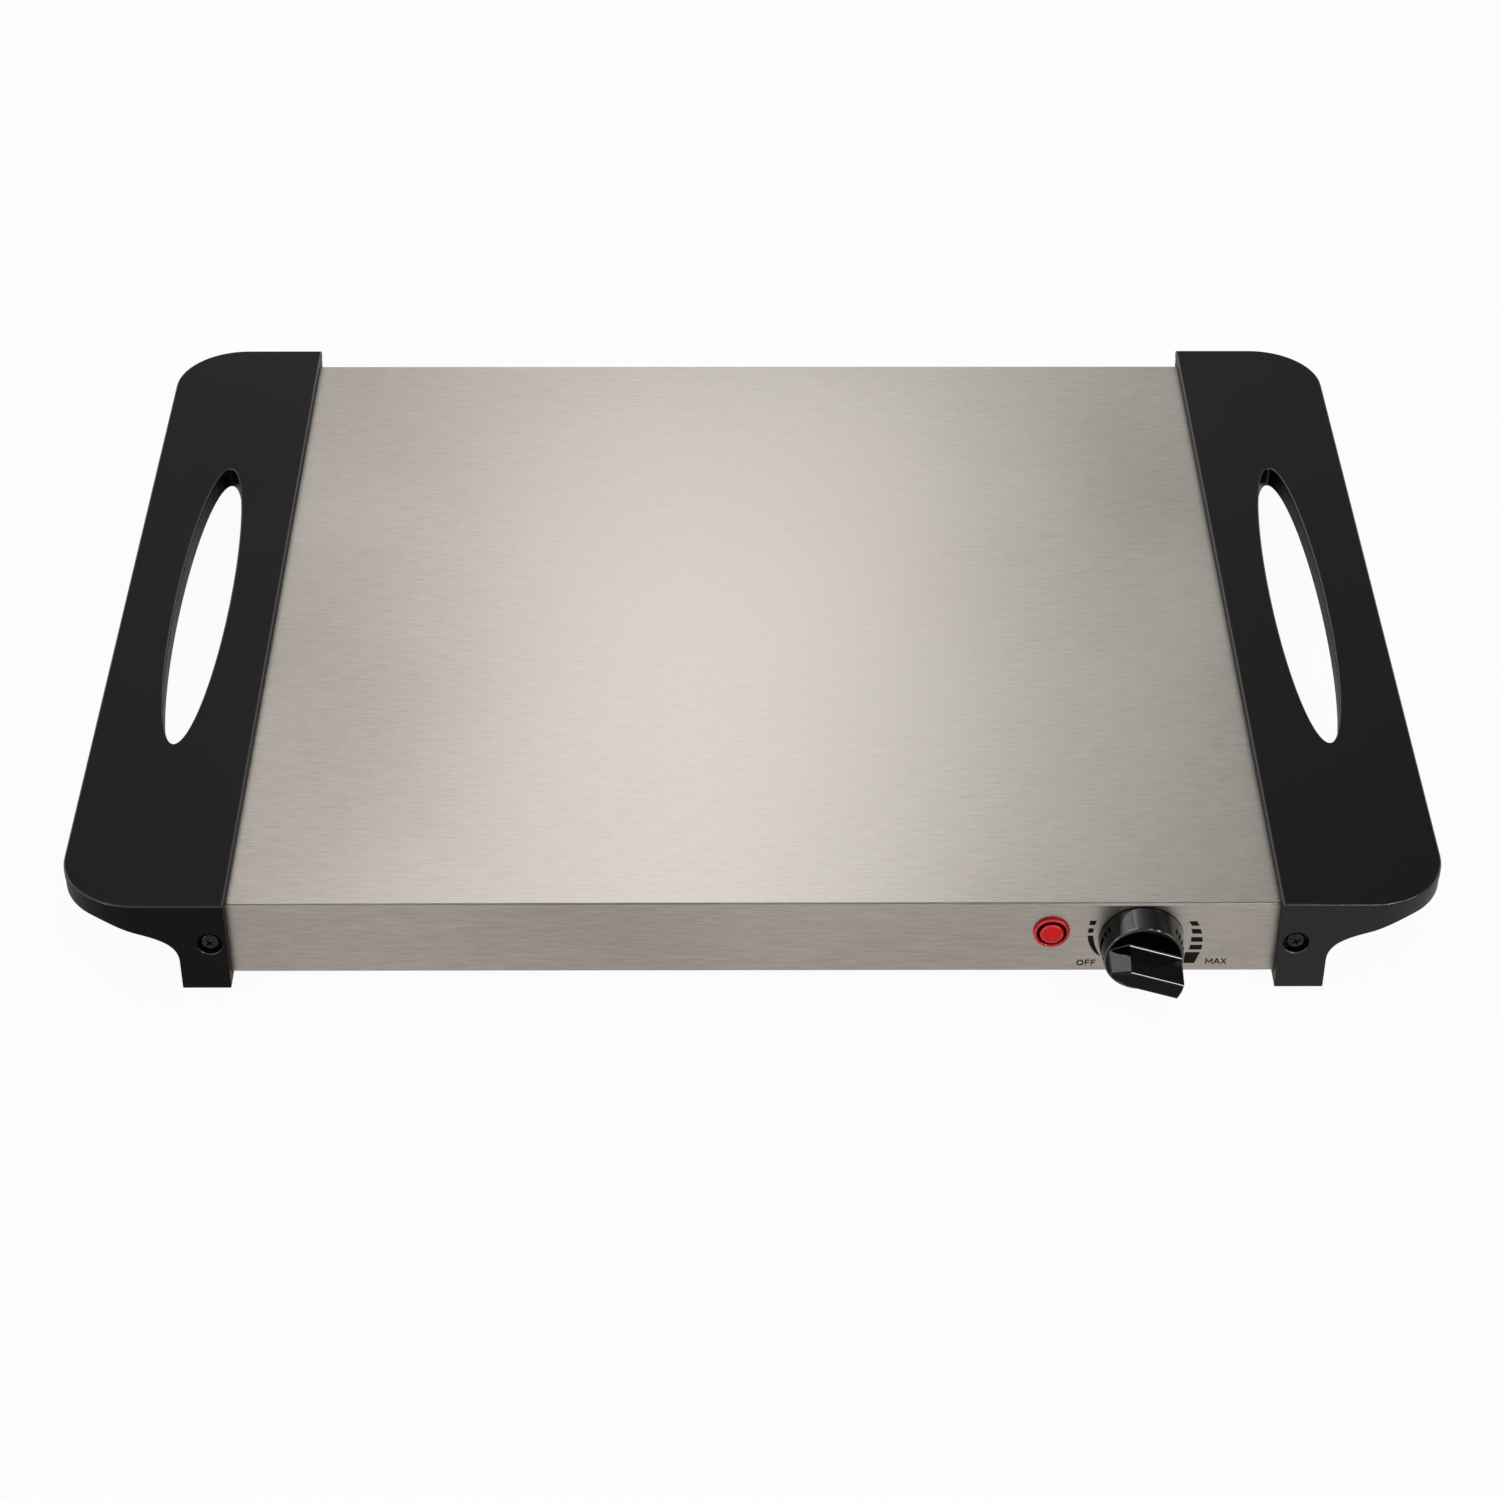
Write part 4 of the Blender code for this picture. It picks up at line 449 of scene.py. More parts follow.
def dress(piece, body, slot, *nodes, look=None):
    """Gives a piece its finish, its body and the solids that it stands for."""
    piece.data.materials.clear()
    piece.data.materials.append(finishes[look or slot])
    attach(piece, body)
    if nodes:
        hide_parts(*nodes)
    print(piece.name, len(piece.data.polygons), "faces, stands for", list(nodes))


# %% [markdown]
# Finishes come next. Several of them share an effect: lines left by a brush, the fine grain of moulded
# plastic, soft clouds where a surface isn't quite even, and a mask for rounded edges. Each effect is a node
# group, made once and placed in each material with its own numbers. Painted pictures would also work, but
# noise never runs out of detail and needs no unwrapping.

# %% Shared effects


def new_group(name, inputs, output):
    """A node group that puts out one value; inputs is a list of (name, default)."""
    made = bpy.data.node_groups.new(name, "ShaderNodeTree")
    for label, default in inputs:
        kind = "NodeSocketVector" if isinstance(default, tuple) else "NodeSocketFloat"
        made.interface.new_socket(label, in_out="INPUT", socket_type=kind).default_value = default
    made.interface.new_socket(output, in_out="OUTPUT", socket_type="NodeSocketFloat")
    return made, made.nodes.new("NodeGroupInput"), made.nodes.new("NodeGroupOutput")


def stretched_noise(tree, along, across, detail, roughness):
    """Noise on Object coordinates, drawn out along X."""
    where = add(tree, "ShaderNodeTexCoord").outputs["Object"]
    scale = add(tree, "ShaderNodeCombineXYZ")
    noise = add(tree, "ShaderNodeTexNoise", Scale=1.0, Detail=detail, Roughness=roughness)
    feed(tree, scale.inputs, (along, across, across))
    drawn_out = vector_math(tree, "MULTIPLY", where, scale.outputs[0])["Vector"]
    tree.links.new(drawn_out, noise.inputs["Vector"])
    return noise.outputs["Fac"]


def put_out(group, value, contrast, socket):
    """Sets how far a value strays from 0.5, and puts it out."""
    scaled = math(group, "MULTIPLY", math(group, "SUBTRACT", value, 0.5), contrast)
    group.links.new(math(group, "ADD", scaled, 0.5), socket)


def make_brush_lines():
    """Streaks along X: fine scratches over broader bands. Puts out a value about 0.5."""
    inputs = [("Along", 70.0), ("Across", 1800.0), ("Contrast", 1.0)]
    group, given, result = new_group("brush_lines", inputs, "Lines")
    along, across = given.outputs["Along"], given.outputs["Across"]
    fine = stretched_noise(group, along, across, 2.0, 0.6)
    slow = math(group, "MULTIPLY", along, 0.6), math(group, "MULTIPLY", across, 0.4)
    broad = stretched_noise(group, *slow, 2.0, 0.5)
    mixed = math(group, "MULTIPLY_ADD", fine, 0.6, math(group, "MULTIPLY", broad, 0.4))
    put_out(group, mixed, given.outputs["Contrast"], result.inputs["Lines"])
    return group


def make_spots(name, output, size, detail, roughness):
    """Even spots without a direction. Puts out a value about 0.5."""
    group, given, result = new_group(name, [("Size", size), ("Contrast", 1.0)], output)
    spots = stretched_noise(group, given.outputs["Size"], given.outputs["Size"], detail, roughness)
    put_out(group, spots, given.outputs["Contrast"], result.inputs[output])
    return group


def make_soft_edges():
    """1 where a face turns over between an axis and its sides, and 0 on faces along or across it."""
    inputs = [("Strength", 3.4), ("Axis", (0.0, 0.0, 1.0))]
    group, given, result = new_group("soft_edges", inputs, "Edge")
    facing = add(group, "ShaderNodeTexCoord").outputs["Normal"]
    along = vector_math(group, "DOT_PRODUCT", facing, given.outputs["Axis"])["Value"]
    across = math(group, "SQRT", math(group, "SUBTRACT", 1.0, math(group, "MULTIPLY", along, along)))
    slant = math(group, "SUBTRACT", 1.0, math(group, "MAXIMUM", along, across))
    strong = math(group, "MULTIPLY", slant, given.outputs["Strength"])
    near_side = math(group, "MULTIPLY", strong, math(group, "GREATER_THAN", along, 0.05))
    group.links.new(math(group, "MINIMUM", near_side, 1.0), result.inputs["Edge"])
    return group


brush_lines = make_brush_lines()
moulded_grain = make_spots("moulded_grain", "Grain", 2600.0, 3.0, 0.6)
soft_clouds = make_spots("soft_clouds", "Clouds", 7.0, 1.5, 0.4)
soft_edges = make_soft_edges()
print("Effects:", brush_lines.name, moulded_grain.name, soft_clouds.name, soft_edges.name)

# %% [markdown]
# A finish is then a colour, how much it varies, how rough it is, and how deep its texture goes. One function
# builds all but the lens, because each of them is an even colour that one effect breaks up.

# %% Finish builder
SKIRT_FROM = 0.0148
# Coat weights across the knob's skirt, from its left to its right: a painted reflection that makes parts of the
# skirt look bright and parts black.
KNOB_PAINTED_REFLECTION_BANDS = ((0.2, 0.05), (0.27, 1.0), (0.45, 0.6), (0.62, 0.1), (0.78, 0.1), (0.84, 1.0))
# Coat weight on the right handle's front faces only: a painted sheen that lightens that handle.
RIGHT_FRONT_PAINTED_SHEEN = 0.22
finishes = {}


def place_group(tree, group, **values):
    return add(tree, "ShaderNodeGroup", node_tree=group, **values).outputs[0]


def seen(color):
    """A colour as the eye sees it, 0 to 255, as the shader's linear one."""
    return tuple((c / 255) ** 2.2 for c in color) + (1.0,)


def spread(tree, value, low, high, from_low=0.3, from_high=0.7):
    """Maps a value to a range. Noise about 0.5 mostly runs from 0.3 to 0.7."""
    node = add(tree, "ShaderNodeMapRange")
    feed(tree, node.inputs, (value, from_low, from_high, low, high))
    return node.outputs["Result"]


def distance_from(tree, x, z):
    """How far a point of the flange's plane is from an axis along Y."""
    where = add(tree, "ShaderNodeTexCoord").outputs["Object"]
    away = vector_math(tree, "SUBTRACT", where, (x, 0.0, z))["Vector"]
    flat = vector_math(tree, "MULTIPLY", away, (1.0, 0.0, 1.0))["Vector"]
    return vector_math(tree, "LENGTH", flat)["Value"]


def finish(name, dark, light, rough, effect, depth, metallic=0.0, clouds=None, shine=None, **shader):
    """A material between two colours and two roughnesses, with bumps of a given depth in metres."""
    made, tree, output = new_material(name)
    base = add(tree, "ShaderNodeBsdfPrincipled", Metallic=metallic, **shader)
    mix = add(tree, "ShaderNodeMix", data_type="RGBA")
    mix.inputs[6].default_value = seen(dark)
    mix.inputs[7].default_value = seen(light)
    share = clouded = effect(tree)
    if clouds:
        patches = place_group(tree, soft_clouds, Size=clouds[0], Contrast=clouds[1])
        clouded = math(tree, "ADD", share, math(tree, "SUBTRACT", patches, 0.5))
    wire(
        tree, (spread(tree, clouded, 0.0, 1.0), mix.inputs[0]), (mix.outputs[2], base.inputs["Base Color"]),
        (spread(tree, clouded, *rough), base.inputs["Roughness"]),
    )
    if shine:
        tree.links.new(shine(tree), base.inputs["Coat Weight"])
    if depth:
        bump = add(tree, "ShaderNodeBump", Strength=1.0, Distance=depth)
        tree.links.new(share, bump.inputs["Height"])
        tree.links.new(bump.outputs[0], base.inputs["Normal"])
    tree.links.new(base.outputs[0], output.inputs["Surface"])
    finishes[name] = made


def brushed(along, across, contrast):
    return lambda tree: place_group(tree, brush_lines, Along=along, Across=across, Contrast=contrast)


def grained(size, contrast):
    return lambda tree: place_group(tree, moulded_grain, Size=size, Contrast=contrast)


def edge_shine(axis, weight):
    return lambda tree: math(tree, "MULTIPLY", place_group(tree, soft_edges, Axis=axis), weight)


def cap_edges_and_painted_sheen(tree):
    """Glossy on the rounded edges, and a painted sheen on the front of the right handle only, which makes it the
    lighter of the two.
    """
    # Painted sheen: extra coat on the front faces, kept to the right handle.
    front = spread(tree, parts_of(tree, "Normal")["Y"], RIGHT_FRONT_PAINTED_SHEEN, 0.0, -0.9, -0.1)
    right = math(tree, "GREATER_THAN", parts_of(tree, "Object")["X"], 0.0)
    edge = edge_shine((0.0, 0.0, 1.0), 1.0)(tree)
    return math(tree, "MAXIMUM", math(tree, "MULTIPLY", front, right), edge)


def knob_edges_and_painted_reflection(tree):
    """Glossy on the rounded edges, and a painted reflection on the skirt: coat weight in bands across it, low at
    its far left and high at its far right.
    """
    sides = KNOB.x - KNOB_BASE_RADIUS, KNOB.x + KNOB_BASE_RADIUS
    across = spread(tree, parts_of(tree, "Object")["X"], 0.0, 1.0, *sides)
    # Painted reflection: coat weight in bands across the skirt.
    bands = ramp(tree, across, [(place, (value, value, value, 1.0)) for place, value in KNOB_PAINTED_REFLECTION_BANDS])
    outside = math(tree, "GREATER_THAN", distance_from(tree, KNOB.x, KNOB.z), SKIRT_FROM)
    edge = edge_shine((0.0, -1.0, 0.0), 0.8)(tree)
    return math(tree, "MULTIPLY_ADD", outside, bands, edge)


# %% [markdown]
# The tray's own steel is brushed along its length, so it carries short fine streaks and answers light softly
# across them. The plastic of the handles is satin with a faint grain, and the knob's is polished. The right
# handle's front carries a painted sheen, and the knob's skirt a painted reflection in bands. The lamp's lens is
# a glossy red with a faint glow, with painted shade in its groove and at its rim's edge and a painted highlight
# on the rim. Inside there are plain metals, ceramic, mica and sleeves, which only show through the vents, and
# they are kept simple but not flat.

# %% Finishes
finish(
    "brushed_stainless", (143, 136, 129), (164, 157, 150), (0.28, 0.38), brushed(150.0, 3000.0, 1.1),
    0.000002, metallic=1.0, clouds=(9.0, 0.5),
)
finish(
    "satin_black_plastic", (14, 12, 11), (22, 20, 19), (0.4, 0.54), grained(1500.0, 1.0), 0.00001,
    clouds=(14.0, 0.6), shine=cap_edges_and_painted_sheen,
    **{"Specular IOR Level": 0.07, "Coat Roughness": 0.22, "Coat IOR": 1.75},
)
finish(
    "gloss_black_plastic", (8, 7, 7), (13, 12, 12), (0.06, 0.1), grained(400.0, 0.6), 0.000001,
    shine=knob_edges_and_painted_reflection, **{"Specular IOR Level": 0.1, "Coat Roughness": 0.12, "Coat IOR": 1.9},
)
finish(
    "plated_steel", (150, 150, 146), (196, 196, 190), (0.26, 0.44), grained(900.0, 1.2),
    0.000006, metallic=1.0,
)
finish(
    "dark_plated_screw", (30, 26, 24), (64, 57, 52), (0.2, 0.34), grained(1400.0, 1.2), 0.00001, metallic=1.0,
)
finish(
    "coated_base_steel", (108, 109, 110), (134, 135, 136), (0.42, 0.58), grained(1200.0, 1.0), 0.00001,
    metallic=0.8, clouds=(12.0, 0.8),
)
finish(
    "bright_aluminium", (186, 188, 190), (216, 217, 219), (0.24, 0.38), brushed(20.0, 700.0, 1.0), 0.000006,
    metallic=1.0,
)
finish(
    "element_sheath", (84, 76, 70), (126, 118, 110), (0.38, 0.55), grained(600.0, 1.4), 0.00001, metallic=1.0,
    clouds=(30.0, 1.2),
)
finish("white_ceramic", (214, 210, 198), (234, 231, 222), (0.5, 0.66), grained(2200.0, 1.0), 0.00002)
finish(
    "mica_board", (158, 140, 104), (192, 174, 138), (0.55, 0.8), grained(500.0, 1.6),
    0.00003, clouds=(40.0, 1.4),
)
finish("brass", (172, 142, 76), (206, 178, 108), (0.26, 0.42), grained(900.0, 1.2), 0.000006, metallic=1.0)
finish(
    "bimetal_strip", (132, 128, 120), (166, 162, 156), (0.3, 0.46), brushed(120.0, 1500.0, 1.0), 0.000005,
    metallic=1.0,
)
finish(
    "neon_glass", (240, 212, 188), (246, 226, 210), (0.05, 0.1), grained(300.0, 0.6), 0.0,
    **{"Transmission Weight": 0.6},
)
finish(
    "glass_fibre_sleeve", (214, 208, 192), (242, 239, 230), (0.75, 0.92), brushed(900.0, 900.0, 1.6), 0.00006,
)
finish("live_insulation", (108, 58, 30), (134, 76, 44), (0.5, 0.65), grained(1500.0, 1.0), 0.00001)
finish("neutral_insulation", (44, 82, 138), (62, 104, 164), (0.5, 0.65), grained(1500.0, 1.0), 0.00001)
finish("black_rubber", (22, 22, 22), (36, 36, 36), (0.62, 0.82), grained(2400.0, 1.2), 0.00003)
finish(
    "dial_ink", (14, 12, 11), (26, 23, 21), (0.5, 0.65), grained(3000.0, 1.0), 0.0,
    **{"Specular IOR Level": 0.1},
)

LENS_REACH = 0.007
# Colours out from the lamp's axis: the face, painted shade in the groove, the rim with a painted highlight on its
# outer slope, and painted shade at its edge against the steel.
LENS_COLOURS_AND_PAINTED_SHADE = (
    (0.0, (220, 31, 35)), (0.61, (216, 26, 32)), (0.65, (60, 2, 4)), (0.7, (20, 1, 2)), (0.76, (40, 2, 3)),
    (0.8, (190, 20, 26)), (0.94, (224, 40, 48)), (1.0, (120, 6, 8)),
)


def lens_finish(name):
    """Glossy red with a faint glow: a bright face, a groove painted dark as shade, and a red rim with a painted
    highlight on its outer slope and painted shade at its edge.
    """
    made, tree, output = new_material(name)
    look = {"Specular IOR Level": 0.12, "Emission Strength": 0.1, "Coat Roughness": 0.1, "Coat IOR": 1.8}
    base = add(tree, "ShaderNodeBsdfPrincipled", **look)
    reach = math(tree, "DIVIDE", distance_from(tree, *LAMP), LENS_REACH)
    # The lens colours, with painted shade in the groove and at the rim's edge, and a painted highlight on the rim.
    rings = ramp(tree, reach, [(place, seen(color)) for place, color in LENS_COLOURS_AND_PAINTED_SHADE])
    speck = spread(tree, place_group(tree, moulded_grain, Size=1800.0, Contrast=1.2), 0.8, 1.0)
    dotted = add(tree, "ShaderNodeMix", data_type="RGBA", blend_type="MULTIPLY")
    dotted.inputs[0].default_value = 1.0
    wire(
        tree, (rings, dotted.inputs[6]), (speck, dotted.inputs[7]),
        (dotted.outputs[2], base.inputs["Base Color"]), (dotted.outputs[2], base.inputs["Emission Color"]),
        (spread(tree, speck, 0.16, 0.08, 0.8, 1.0), base.inputs["Roughness"]),
        (edge_shine((0.0, -1.0, 0.0), 0.7)(tree), base.inputs["Coat Weight"]),
        (base.outputs[0], output.inputs["Surface"]),
    )
    finishes[name] = made


lens_finish("red_lens")
print("Finishes:", len(finishes))

# %% [markdown]
# The tray is a single sheet. Its top turns down into a front and a back flange, and each flange turns in
# below as a lip. It could be cut from a box, but folding a flat face as the press does gives the right
# round edge at each bend. The top starts as a plane. Its long edges are pulled down and in, the bends are
# rounded, and the sheet then gets its thickness.

# %% Folded steel tray
SHEET = 0.0006
FOLD_RADIUS = 0.0009
LIP_WIDTH = 0.014
FOLD_SEGMENTS = 8
LAMP_HOLE, KNOB_HOLE, ENTRY_HOLE = 0.0051, 0.00505, 0.0063
HOLE_SIDES = 48


def pull_edges(piece, test, move):
    """Extrudes the open edges whose middle passes a test."""
    choose_edges(piece, lambda edge: edge.is_boundary and test((edge.verts[0].co + edge.verts[1].co) / 2))
    bpy.ops.mesh.extrude_region_move(TRANSFORM_OT_translate={"value": move})
    leave()


def fold_tray():
    bpy.ops.mesh.primitive_plane_add(size=2.0)
    tray = bpy.context.object
    tray.name = tray.data.name = "folded_tray"
    for corner in tray.data.vertices:
        corner.co = (corner.co.x * TRAY_HALF, MIDDLE_Y + corner.co.y * TRAY_HALF_DEPTH, TRAY_TOP)
    drop = TRAY_TOP - TRAY_BOTTOM
    for side in (-1, 1):
        flange = MIDDLE_Y + side * TRAY_HALF_DEPTH
        pull_edges(tray, lambda m: abs(m.y - flange) < SAME_POINT, (0.0, 0.0, -drop))
        low = lambda m: abs(m.y - flange) < SAME_POINT and abs(m.z - TRAY_BOTTOM) < SAME_POINT
        pull_edges(tray, low, (0.0, -side * LIP_WIDTH, 0.0))
    choose_edges(tray, lambda edge: not edge.is_boundary)
    bpy.ops.mesh.bevel(
        offset=FOLD_RADIUS + SHEET / 2, offset_type="OFFSET", segments=FOLD_SEGMENTS, affect="EDGES"
    )
    leave()
    face_out(tray)
    up = max(tray.data.polygons, key=lambda f: f.area).normal.z
    work(tray, "SOLIDIFY", thickness=SHEET, offset=-1.0 if up > 0 else 1.0, use_even_offset=True)
    return face_out(tray)


tray = fold_tray()
for centre, radius, face in (
    (LAMP, LAMP_HOLE, FRONT), ((KNOB.x, KNOB.z), KNOB_HOLE, FRONT), (ENTRY, ENTRY_HOLE, BACK)
):
    outline = ellipse(centre, radius, radius, HOLE_SIDES)
    cut(tray, prism("hole", "Y", outline, face - OVERRUN, face + OVERRUN))
smooth(tray)
dress(tray, "root", "brushed_stainless", "top_tray")

# %% [markdown]
# The handles are the largest mouldings. Seen from above each is a rectangle with two round outer corners,
# and seen from the front it sweeps down from a thin rim to a foot. Sculpting it would be slow and uneven.
# Here the plan is pulled up in layers, which also rounds its top edge, and then the sweep, the hollow, the
# seat for the steel and the finger opening are cut out of it, as the mould's own cores do.

# %% End handles
CAP_FROM = 0.196
CAP_CORNER = 0.0297
CAP_EDGE = 0.001
CAP_WALL = 0.0025
CAP_PLATE = 0.0028
CAP_END_WALL = 0.0025
RIM_DEPTH = 0.0086
FOOT_OUTER = 0.2144
FOOT_REACH = 0.014
FOOT_EDGE = 0.0008
SHOULDER_HEIGHT = 0.0135
BROW_START, BROW_HEIGHT, BROW_END = 0.231, 0.0276, 0.2465
BROW_SLOPE_SHARE = 1.26
BROW_PULL_SHARES = (0.62, 0.5)
GRIP_X, GRIP_HALF_WIDTH, GRIP_HALF_LENGTH = 0.2266, 0.011, 0.0985
GRIP_COLLAR, GRIP_DEPTH = 0.0022, 0.009
RIB_WIDTH, RIB_DEPTH = 0.0018, 0.0045
RIBS_ACROSS = (-0.78, -0.6, 0.6, 0.78)
RIBS_BESIDE_GRIP = (-0.7, -0.35, 0.0, 0.35, 0.7)
RECESS_RADIUS, RECESS_DEPTH, RECESS_CHAMFER = 0.0048, 0.0032, 0.0003
SHANK_HOLE = 0.0022
CORNER_STEPS, SWEEP_STEPS, BROW_STEPS = 26, 24, 12
FOOT_STEPS, EDGE_STEPS = 5, 6
GRIP_SIDES, RECESS_SIDES = 128, 64
PARTING_DROP = 0.0034
PARTING_STEP = 0.0002
CAP_TOP = cap_high.z
CAP_OUTER = cap_high.x
CAP_HALF_DEPTH = (cap_high.y - cap_low.y) / 2


def outer_corners(radius):
    """The round outer corners in plan, from the front to the back."""
    reach, corner = CAP_OUTER - CAP_CORNER, CAP_HALF_DEPTH - CAP_CORNER
    front = arc((reach, MIDDLE_Y - corner), radius, -90.0, 0.0, CORNER_STEPS)
    return front + arc((reach, MIDDLE_Y + corner), radius, 0.0, 90.0, CORNER_STEPS)


def cap_plan(inset):
    """Plan of the right handle, square at the steel and round at its outer corners."""
    near, half = CAP_FROM + inset, CAP_HALF_DEPTH - inset
    return [(near, MIDDLE_Y - half)] + outer_corners(CAP_CORNER - inset) + [(near, MIDDLE_Y + half)]


def curve_points(start, pull_start, pull_end, end, steps):
    """Points along a cubic curve, without its first."""
    points = []
    for i in range(1, steps + 1):
        t = i / steps
        weights = ((1 - t) ** 3, 3 * t * (1 - t) ** 2, 3 * t * t * (1 - t), t ** 3)
        corners = (start, pull_start, pull_end, end)
        points.append(tuple(sum(w * c[k] for w, c in zip(weights, corners)) for k in (0, 1)))
    return points


def under_sweep():
    """Seen from the front: all that is open below the rim and outside the foot."""
    rim_low = CAP_TOP - RIM_DEPTH
    shoulder, brow = (FOOT_OUTER, SHOULDER_HEIGHT), (BROW_START, BROW_HEIGHT)
    slope = (rim_low - BROW_HEIGHT) / (BROW_END - BROW_START) * BROW_SLOPE_SHARE
    up = (BROW_HEIGHT - SHOULDER_HEIGHT) * BROW_PULL_SHARES[0]
    back = (BROW_START - FOOT_OUTER) * BROW_PULL_SHARES[1]
    pull_end = (BROW_START - back, BROW_HEIGHT - back * slope)
    pull_start = (FOOT_OUTER, SHOULDER_HEIGHT + up)
    hollow = curve_points(shoulder, pull_start, pull_end, brow, SWEEP_STEPS)
    lead = (BROW_END - BROW_START) / 3
    pulls = (BROW_START + lead, BROW_HEIGHT + lead * slope), (BROW_END - lead, rim_low)
    swell = curve_points(brow, *pulls, (BROW_END, rim_low), BROW_STEPS)
    beyond = CAP_OUTER + OVERRUN
    heel = arc((FOOT_OUTER - FOOT_EDGE, FOOT_EDGE), FOOT_EDGE, -90.0, 0.0, FOOT_STEPS)
    foot = [(FOOT_OUTER - FOOT_EDGE, -OVERRUN)] + heel + [shoulder]
    return foot + hollow + swell + [(beyond, rim_low), (beyond, -OVERRUN)]


def under_plan():
    """Plan of the hollow below the top plate, which leaves the walls and the two feet."""
    near = TRAY_HALF + FIT + CAP_END_WALL
    post = TRAY_HALF_DEPTH - FOOT_REACH
    wall = CAP_HALF_DEPTH - CAP_WALL
    start = [(near, MIDDLE_Y - post), (FOOT_OUTER, MIDDLE_Y - post), (FOOT_OUTER, MIDDLE_Y - wall)]
    end = [(FOOT_OUTER, MIDDLE_Y + wall), (FOOT_OUTER, MIDDLE_Y + post), (near, MIDDLE_Y + post)]
    return start + outer_corners(CAP_CORNER - CAP_WALL) + end


def slab(name, low, high):
    return prism(name, "Z", rectangle(low, high), low[2], high[2])


def grip_ring(grow):
    return ellipse((GRIP_X, MIDDLE_Y), GRIP_HALF_WIDTH + grow, GRIP_HALF_LENGTH + grow, GRIP_SIDES)


def top_edge(plan):
    """Layers that take a plan round the top edge."""
    return [(plan(CAP_EDGE * (1 - cos(a))), CAP_TOP - CAP_EDGE * (1 - sin(a))) for a in quarter(EDGE_STEPS)]


def mould_cap():
    parting = CAP_TOP - PARTING_DROP
    layers = [(cap_plan(PARTING_STEP + FOOT_EDGE * (1 - sin(a))), FOOT_EDGE * (1 - cos(a)))
              for a in quarter(FOOT_STEPS)]
    layers += [(cap_plan(PARTING_STEP), parting - PARTING_STEP), (cap_plan(0.0), parting)]
    cap = block("right_handle", "Z", layers + top_edge(cap_plan))
    beyond = CAP_HALF_DEPTH + OVERRUN
    cut(cap, prism("sweep", "Y", under_sweep(), MIDDLE_Y - beyond, MIDDLE_Y + beyond))
    cut(cap, prism("hollow", "Z", under_plan(), -OVERRUN, CAP_TOP - CAP_PLATE))
    near, inner = CAP_FROM - OVERRUN, TRAY_HALF + FIT
    cut(cap, slab("seat", (near, FRONT - FIT, TRAY_BOTTOM - FIT), (inner, BACK + FIT, TRAY_TOP + FIT)))
    post = TRAY_HALF_DEPTH - FOOT_REACH
    far = inner + CAP_END_WALL + OVERRUN
    gap = (near, MIDDLE_Y - post, -OVERRUN), (far, MIDDLE_Y + post, TRAY_BOTTOM + FIT)
    cut(cap, slab("between_feet", *gap))
    top = CAP_TOP - CAP_PLATE + BITE
    join(cap, prism("collar", "Z", grip_ring(GRIP_COLLAR), CAP_TOP - GRIP_DEPTH, top))
    return cap


def add_ribs(cap):
    """Ribs below the plate: right across beside the opening, and outside its collar along it."""
    near, far = TRAY_HALF + FIT + CAP_END_WALL - BITE, CAP_OUTER - CAP_WALL + BITE
    top, bottom = CAP_TOP - CAP_PLATE + BITE, CAP_TOP - CAP_PLATE - RIB_DEPTH
    rows = [(share * CAP_HALF_DEPTH, near) for share in RIBS_ACROSS]
    for share in RIBS_BESIDE_GRIP:
        outside = GRIP_X + GRIP_HALF_WIDTH * sqrt(1 - share * share) + GRIP_COLLAR / 2
        rows.append((share * GRIP_HALF_LENGTH, outside))
    for y, start in rows:
        low = (start, MIDDLE_Y + y - RIB_WIDTH / 2, bottom)
        join(cap, slab("rib", low, (far, MIDDLE_Y + y + RIB_WIDTH / 2, top)))


def open_grip(cap):
    below = [(grip_ring(0.0), CAP_TOP - GRIP_DEPTH - OVERRUN)]
    cut(cap, block("grip", "Z", below + top_edge(grip_ring) + [(grip_ring(CAP_EDGE), CAP_TOP + OVERRUN)]))


def sink_recesses(cap):
    """Stepped holes for the screws, front and back."""
    wide = RECESS_RADIUS + RECESS_CHAMFER
    for side in (-1, 1):
        outer = MIDDLE_Y + side * (CAP_HALF_DEPTH + OVERRUN)
        floor = MIDDLE_Y + side * (CAP_HALF_DEPTH - RECESS_DEPTH)
        inner = MIDDLE_Y + side * (TRAY_HALF_DEPTH - OVERRUN)
        mouth = MIDDLE_Y + side * (CAP_HALF_DEPTH - PARTING_STEP - RECESS_CHAMFER)
        profile = [
            (0.0, outer), (wide, outer), (wide, mouth + side * RECESS_CHAMFER), (RECESS_RADIUS, mouth),
            (RECESS_RADIUS, floor), (SHANK_HOLE, floor), (SHANK_HOLE, inner), (0.0, inner),
        ]
        cut(cap, lathe("recess", *CAP_SCREW, profile, RECESS_SIDES))


right_handle = mould_cap()
add_ribs(right_handle)
open_grip(right_handle)
sink_recesses(right_handle)
smooth(right_handle)
left_handle = copy_of(right_handle, "left_handle", Matrix.Diagonal((-1.0, 1.0, 1.0, 1.0)))
smooth(left_handle)
dress(right_handle, "root", "satin_black_plastic", "right_end_cap")
dress(left_handle, "root", "satin_black_plastic", "left_end_cap")

# %% [markdown]
# Pan-head screws with a cross recess hold the handles and the base. The head is turned on the lathe, and the
# cross is cut with two tapered blades, as the heading tool does. One of each size is modelled at the origin
# and copied.

# %% Screws
HANDLE_HEAD_HEIGHT, BASE_HEAD_HEIGHT = 0.0022, 0.0015
HEAD_SIDE_SHARE = 0.45
CROSS_DEPTH_SHARE, CROSS_FLOOR_SHARE = 0.8, 0.45
CROSS_THICK_SHARE, CROSS_TAPER = 0.17, 0.6
CROSS_OVERRUN = 0.0002
SCREW_SIDES, CROWN_STEPS = 48, 8
TURN_OF_EACH = 9.0


